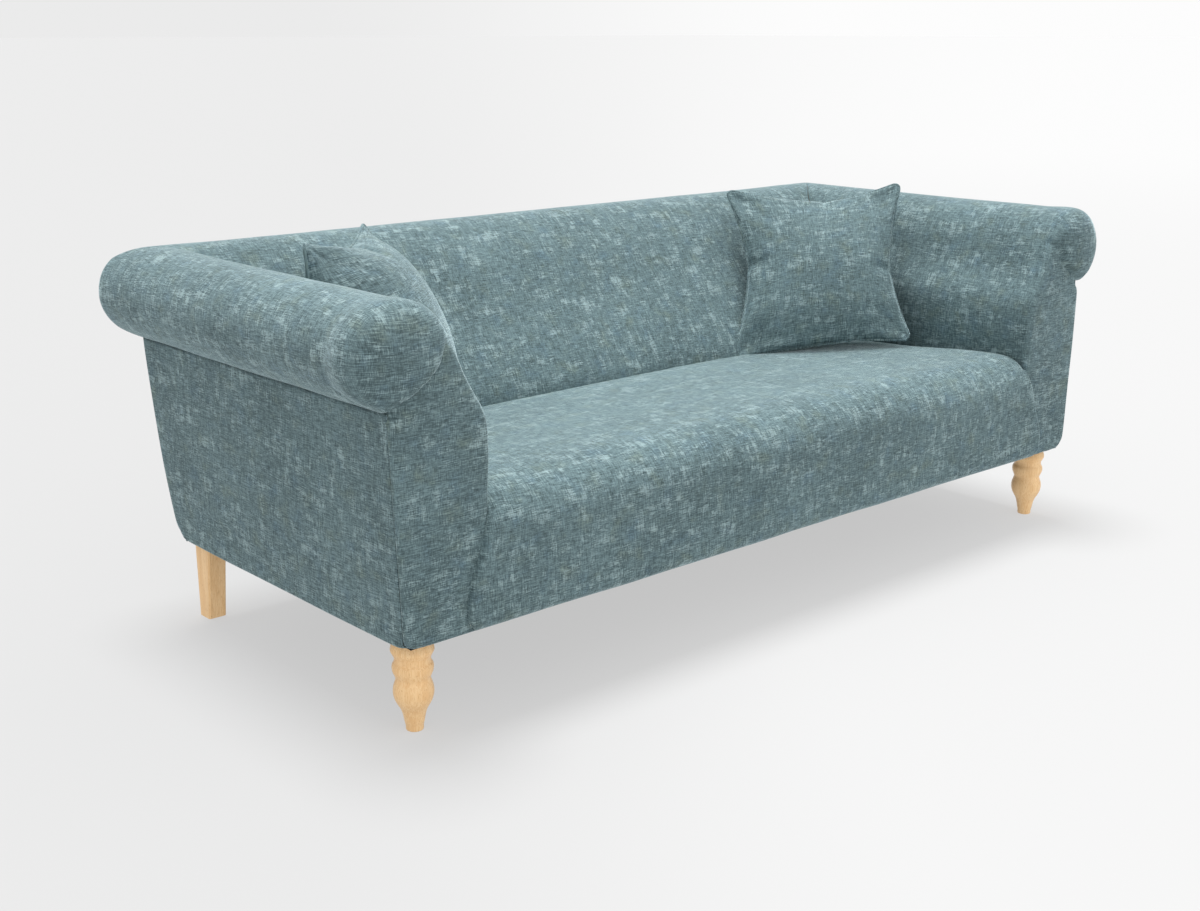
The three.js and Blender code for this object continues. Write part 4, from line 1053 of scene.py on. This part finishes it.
def piping_tree():
    """Geometry Nodes: a round cord of cloth along an edge loop."""
    shade, given, radius, steps, sides, cloth = new_tree(
        "piping", Radius="Float", Steps="Int", Sides="Int", Cloth="Material",
    )
    curve = shade.add("GeometryNodeMeshToCurve", None, {"Mesh": given})
    fine = shade.add("GeometryNodeResampleCurve", None, {"Curve": curve, "Count": steps})
    ring = shade.add("GeometryNodeCurvePrimitiveCircle", None, {"Resolution": sides, "Radius": radius})
    cord = shade.add("GeometryNodeCurveToMesh", None, {"Curve": fine, "Profile Curve": ring})
    place = shade.add("GeometryNodeInputPosition")
    marked = shade.add(
        "GeometryNodeStoreNamedAttribute", {"data_type": "FLOAT_VECTOR", "domain": "POINT"},
        {"Geometry": cord, "Name": "cloth", "Value": place},
    )
    whole = shade.add("GeometryNodeRealizeInstances", None, {"Geometry": marked})
    shaded = shade.add("GeometryNodeSetMaterial", None, {"Geometry": whole, "Material": cloth})
    shade.add("NodeGroupOutput", None, {"Geometry": shaded})
    return shade.tree


piping = piping_tree()

for side, seed in (("left", 8.0), ("right", 9.0)):
    points, faces, rim, square = cushion_shape(side)
    cloth = np.stack([square[:, 0], square[:, 1], 0 * square[:, 0]], axis=1) * cushion_size / 2
    matrix = cushion_frame(side)
    points = np.array([matrix @ Vector(p) for p in points])
    inside = matrix @ Vector((0, 0, cushion_size / 2))
    piece = mesh_piece(f"{side}_scatter_cushion", points, faces, inside, cloth + (seed, seed * 0.6, seed))
    finer = piece.modifiers.new("finer", "SUBSURF")
    finer.levels = finer.render_levels = 1
    dress(piece, velvet, "sofa_cloth", f"{side}_cushion", f"{side}_cushion_cover", f"{side}_cushion_pad")
    cord = run_along(
        f"{side}_cushion_piping", points[rim], piping, Radius=piping_radius, Steps=piping_steps,
        Sides=piping_sides, Cloth=velvet,
    )
    cord.data.shade_smooth()
    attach(cord, f"{side}_cushion")


# Legs: clear-lacquered beech. The front pair is turned, with a neck under each bead, and the back pair is
# square. Each screws up into a block in its corner.
def beech_material():
    material, shade = new_material("lacquered_beech")
    spot = shade.add("ShaderNodeTexCoord", output=3)
    grain = spot.stretched(420, 420, 14).noise(detail=3.0)
    flow = spot.stretched(60, 60, 5).noise(detail=2.0)
    flecks = spot.stretched(900, 900, 90, seed=3.0).noise(detail=1.0)
    colour = (grain * 0.6 + flow * 0.4).step(0.38, 0.62).between((0.80, 0.50, 0.235), (0.90, 0.62, 0.33))
    colour = flecks.step(0.62, 0.74).between(colour, (0.62, 0.36, 0.16))
    relief = shade.add("ShaderNodeBump", None, {"Height": grain, "Strength": 0.12, "Distance": 0.0004})
    surface(shade, base_color=colour, roughness=0.42, normal=relief, specular_ior_level=0.4)
    return material


beech = beech_material()
leg_radius = 0.0395
leg_top_z = 0.1797
leg_centre = (0.963, -0.414)
leg_sides = 64
leg_stops = [
    (0.41, 0), (0.415, 0.044), (0.466, 0.1), (0.516, 0.161), (0.618, 0.233), (0.76, 0.289), (0.87, 0.339),
    (0.937, 0.411), (0.92, 0.467), (0.835, 0.528), (0.795, 0.561), (0.86, 0.6), (0.942, 0.65), (0.937, 0.706),
    (0.845, 0.744), (0.84, 0.783), (0.937, 0.828), (1, 0.861), (0.972, 0.906), (0.911, 0.933), (0.911, 1),
]
leg_foot = [(0, 0), (0.010, 0), (0.0148, 0.0002), (0.0158, 0.0009), (0.0163, 0.0025)]
leg_head = [(0.0362, 0.1680), (0.0360, 0.1700), (0.0360, 0.1786), (0.0354, leg_top_z), (0, leg_top_z)]


def turned_profile():
    """The leg's radius at each height, smooth through its beads and necks, with its foot and head eased."""
    radius, height = np.array(leg_stops[1:-2]).T
    steps = run_length(radius * leg_radius, height * leg_top_z)
    fine = np.linspace(0, steps[-1], 110)
    radii = through(list(zip(steps, radius)), 0.2, -0.4)(fine) * leg_radius
    heights = through(list(zip(steps, height)), 5, 5)(fine) * leg_top_z
    return np.array(leg_foot + list(zip(radii, heights)) + leg_head)


def turned_leg(name, mirror):
    profile = turned_profile()
    angle = np.linspace(0, 2 * pi, leg_sides, endpoint=False)
    x = mirror * leg_centre[0] + profile[1:-1, :1] * np.cos(angle)[None, :]
    y = leg_centre[1] + profile[1:-1, :1] * np.sin(angle)[None, :]
    z = np.repeat(profile[1:-1, 1:], leg_sides, axis=1)
    points = np.stack([x, y, z], axis=-1).reshape(-1, 3)
    table = np.arange(len(points)).reshape(x.shape)
    table = np.concatenate([table, table[:, :1]], axis=1)
    faces = [tuple(f) for f in grid_quads(table)]
    foot, head = len(points), len(points) + 1
    centre = (mirror * leg_centre[0], leg_centre[1])
    points = np.concatenate([points, [(*centre, 0), (*centre, leg_top_z)]])
    faces += [(foot, table[0, i], table[0, i + 1]) for i in range(leg_sides)]
    faces += [(head, table[-1, i + 1], table[-1, i]) for i in range(leg_sides)]
    return mesh_piece(name, points, faces, (*centre, 0.09))


for side, mirror in (("left", -1), ("right", 1)):
    leg = turned_leg(f"{side}_turned_leg", mirror)
    dress(leg, beech, "beech", "frame", f"front_{side}_leg")
for name in ("back_left_leg", "back_right_leg"):
    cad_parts[name].data.materials.clear()
    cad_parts[name].data.materials.append(beech)


# Frame, springs and filling: softwood rails, plywood scroll boards, zigzag springs, webbing and foam. None of
# it shows, but it is all there under the covers.
def plain_material(name, low, high, scale, roughness, metallic=0.0):
    material, shade = new_material(name)
    spot = shade.add("ShaderNodeTexCoord", output=3)
    field = spot.stretched(*scale).noise(detail=3.0)
    relief = shade.add("ShaderNodeBump", None, {"Height": field, "Strength": 0.2, "Distance": 0.0005})
    surface(
        shade, base_color=field.step(0.35, 0.65).between(low, high), roughness=roughness, metallic=metallic,
        normal=relief,
    )
    return material


inner_finishes = {
    "rail brace post upright block": plain_material(
        "softwood", (0.50, 0.33, 0.16), (0.66, 0.47, 0.25), (18, 240, 240), 0.7,
    ),
    "board": plain_material("plywood", (0.55, 0.40, 0.22), (0.68, 0.52, 0.31), (60, 900, 60), 0.7),
    "spring bolt": plain_material(
        "spring_steel", (0.28, 0.29, 0.30), (0.42, 0.43, 0.44), (300, 300, 300), 0.35, 1.0,
    ),
    "foam": plain_material("upholstery_foam", (0.78, 0.70, 0.45), (0.86, 0.80, 0.58), (500, 500, 500), 0.9),
    "webbing": plain_material("jute_webbing", (0.26, 0.20, 0.12), (0.42, 0.34, 0.22), (90, 900, 900), 0.9),
    "dust": plain_material("dust_cloth", (0.012, 0.013, 0.015), (0.026, 0.027, 0.030), (900, 900, 900), 0.95),
}
for name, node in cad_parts.items():
    for words, material in inner_finishes.items():
        if "leg" not in name and any(word in name for word in words.split()):
            node.data.materials.clear()
            node.data.materials.append(material)


# Dust cover: thin black spunbonded cloth under the frame. Its edge is folded in over the velvet's turned hems
# and stapled to the rails all the way round.
dust_half_width = 1.003
dust_front_y = -0.4685
dust_rear_y = 0.340
dust_face_z = 0.1794
dust_thickness = 0.0006
dust_sag = 0.0015
dust_hem_rise = 0.0004
dust_pucker = 0.0005
staple_inset = 0.006
staple_spacing = 0.045
staple_length = 0.010
staple_radius = 0.00045


def dust_sheet():
    def spaced(low, high, count):
        near = np.array([0, 0.003, 0.006, 0.009, 0.0105, 0.0115, 0.0125, 0.014, 0.018, 0.024])
        return np.concatenate([low + near, np.linspace(low + 0.03, high - 0.03, count), high - near[::-1]])

    x, y = np.meshgrid(spaced(-dust_half_width, dust_half_width, 260), spaced(dust_front_y, dust_rear_y, 110))
    inset = np.minimum(dust_half_width - np.abs(x), np.minimum(y - dust_front_y, dust_rear_y - y))
    hem = 1 - smooth_step(0.0105, 0.0130, inset)
    across = np.cos(pi * x / (2 * dust_half_width))
    along = np.sin(pi * (y - dust_front_y) / (dust_rear_y - dust_front_y))
    pucker = np.cos(2 * pi * (x + y) / staple_spacing) * np.exp(-((inset - staple_inset) / 0.03) ** 2)
    sag = dust_sag * np.sqrt(np.clip(across * along, 0, 1))
    z = dust_face_z - dust_hem_rise * hem - sag - dust_pucker * pucker
    points = np.stack([x, y, z], axis=-1).reshape(-1, 3)
    flat = np.stack([x, y, 0 * x], axis=-1).reshape(-1, 3)
    table = np.arange(len(points)).reshape(x.shape)
    return mesh_piece("dust_cloth_sheet", points, grid_quads(table), (0, 0, 0.4), flat)


def staple_tree():
    """Geometry Nodes: wire staples at even spacing along a loop, each lying along it."""
    shade, given, spacing, length, radius, steel = new_tree(
        "staples", Spacing="Float", Length="Float", Radius="Float", Steel="Material",
    )
    loop = shade.add("GeometryNodeMeshToCurve", None, {"Mesh": given})
    spots = shade.add("GeometryNodeCurveToPoints", {"mode": "LENGTH"}, {"Curve": loop, "Length": spacing})
    way = Shade(shade.tree, spots.socket.node.outputs["Tangent"])
    turned = shade.add("FunctionNodeAlignRotationToVector", {"axis": "X"}, {"Vector": way})
    ahead = shade.add("ShaderNodeCombineXYZ", None, {"X": length * 0.5})
    behind = shade.add("ShaderNodeCombineXYZ", None, {"X": length * -0.5})
    wire = shade.add("GeometryNodeCurvePrimitiveLine", None, {"Start": behind, "End": ahead})
    ring = shade.add("GeometryNodeCurvePrimitiveCircle", None, {"Resolution": 8, "Radius": radius})
    staple = shade.add(
        "GeometryNodeCurveToMesh", None, {"Curve": wire, "Profile Curve": ring, "Fill Caps": True},
    )
    row = shade.add(
        "GeometryNodeInstanceOnPoints", None, {"Points": spots, "Instance": staple, "Rotation": turned},
    )
    whole = shade.add("GeometryNodeRealizeInstances", None, {"Geometry": row})
    shaded = shade.add("GeometryNodeSetMaterial", None, {"Geometry": whole, "Material": steel})
    shade.add("NodeGroupOutput", None, {"Geometry": shaded})
    return shade.tree


def staples():
    out = dust_half_width - staple_inset
    front, back = dust_front_y + staple_inset, dust_rear_y - staple_inset
    level = dust_face_z - dust_hem_rise - staple_radius / 2
    corners = [(-out, front, level), (out, front, level), (out, back, level), (-out, back, level)]
    return run_along(
        "dust_cover_staples", corners, staple_tree(), Spacing=staple_spacing, Length=staple_length,
        Radius=staple_radius, Steel=inner_finishes["spring bolt"],
    )


dust = dust_sheet()
dress(dust, inner_finishes["dust"], "dust_cloth", "frame", "dust_cover", thickness=dust_thickness)
stretched_sheet(dust, "front_rail", "rear_seat_rail", "left_side_rail", "right_side_rail")
row = staples()
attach(row, "frame")


# Studio: a wide pale floor under a pale sky, both brighter to the right; on the floor that brightness is
# painted light in its colour, and the floor glows evenly. A soft light stands overhead and a weak one in
# front.
floor_half = 200.0
floor_mesh = bpy.data.meshes.new("studio_floor")
floor_corners = ((-1, -1), (1, -1), (1, 1), (-1, 1))
floor_mesh.from_pydata([(x * floor_half, y * floor_half, 0) for x, y in floor_corners], [], [(0, 1, 2, 3)])
floor = bpy.data.objects.new("studio_floor", floor_mesh)
bpy.context.scene.collection.objects.link(floor)
floor_with_painted_light, shade = new_material("studio_floor")


def to_the_right(spot):
    """How far a place on the floor, or a view of the sky, lies to the right of the sofa."""
    way = (0.746, -0.665, 0)
    return spot.add("ShaderNodeVectorMath", {"operation": "DOT_PRODUCT"}, {0: spot, 1: way}, output=1)


spot = shade.add("ShaderNodeTexCoord", output=3)
reach = spot.add("ShaderNodeVectorMath", {"operation": "LENGTH"}, {0: spot}, output=1)
rightward = shade.math("DIVIDE", to_the_right(spot), reach + 1.5)
# Painted light: the floor's colour is painted lighter to the right, and lighter still far off to the right.
painted_light_grey = rightward.step(-0.20, 0.16).between((0.147, 0.147, 0.147), (0.190, 0.190, 0.190))
painted_light_far_right = rightward.step(0.0, 0.30) * reach.step(4.0, 14.0)
surface(
    shade, roughness=0.9, specular_ior_level=0.0, emission_color=(0.53, 0.53, 0.53, 1), emission_strength=1.0,
    base_color=painted_light_far_right.between(painted_light_grey, (0.210, 0.210, 0.210)),
)
floor_mesh.materials.append(floor_with_painted_light)

world = bpy.data.worlds.new("studio")
world.use_nodes = True
world.node_tree.nodes.clear()
shade = Shade(world.node_tree)
sky = to_the_right(shade.add("ShaderNodeTexCoord", output=0))
backdrop = shade.add(
    "ShaderNodeBackground", None,
    {"Color": sky.step(-0.20, 0.16).between((0.83, 0.83, 0.83), (0.98, 0.98, 0.98)), "Strength": 1.0},
)
shade.add("ShaderNodeOutputWorld", None, {"Surface": backdrop})
bpy.context.scene.world = world

for name, energy, softness, turns in (
    ("top_light", 3.8, 24, (-10, 2, 0)),
    ("front_light", 0.35, 60, (68, 0, -22)),
):
    light = bpy.data.objects.new(name, bpy.data.lights.new(name, "SUN"))
    light.data.energy = energy
    light.data.angle = radians(softness)
    light.rotation_euler = [radians(turn) for turn in turns]
    bpy.context.scene.collection.objects.link(light)

bpy.context.scene.view_settings.view_transform = "Standard"
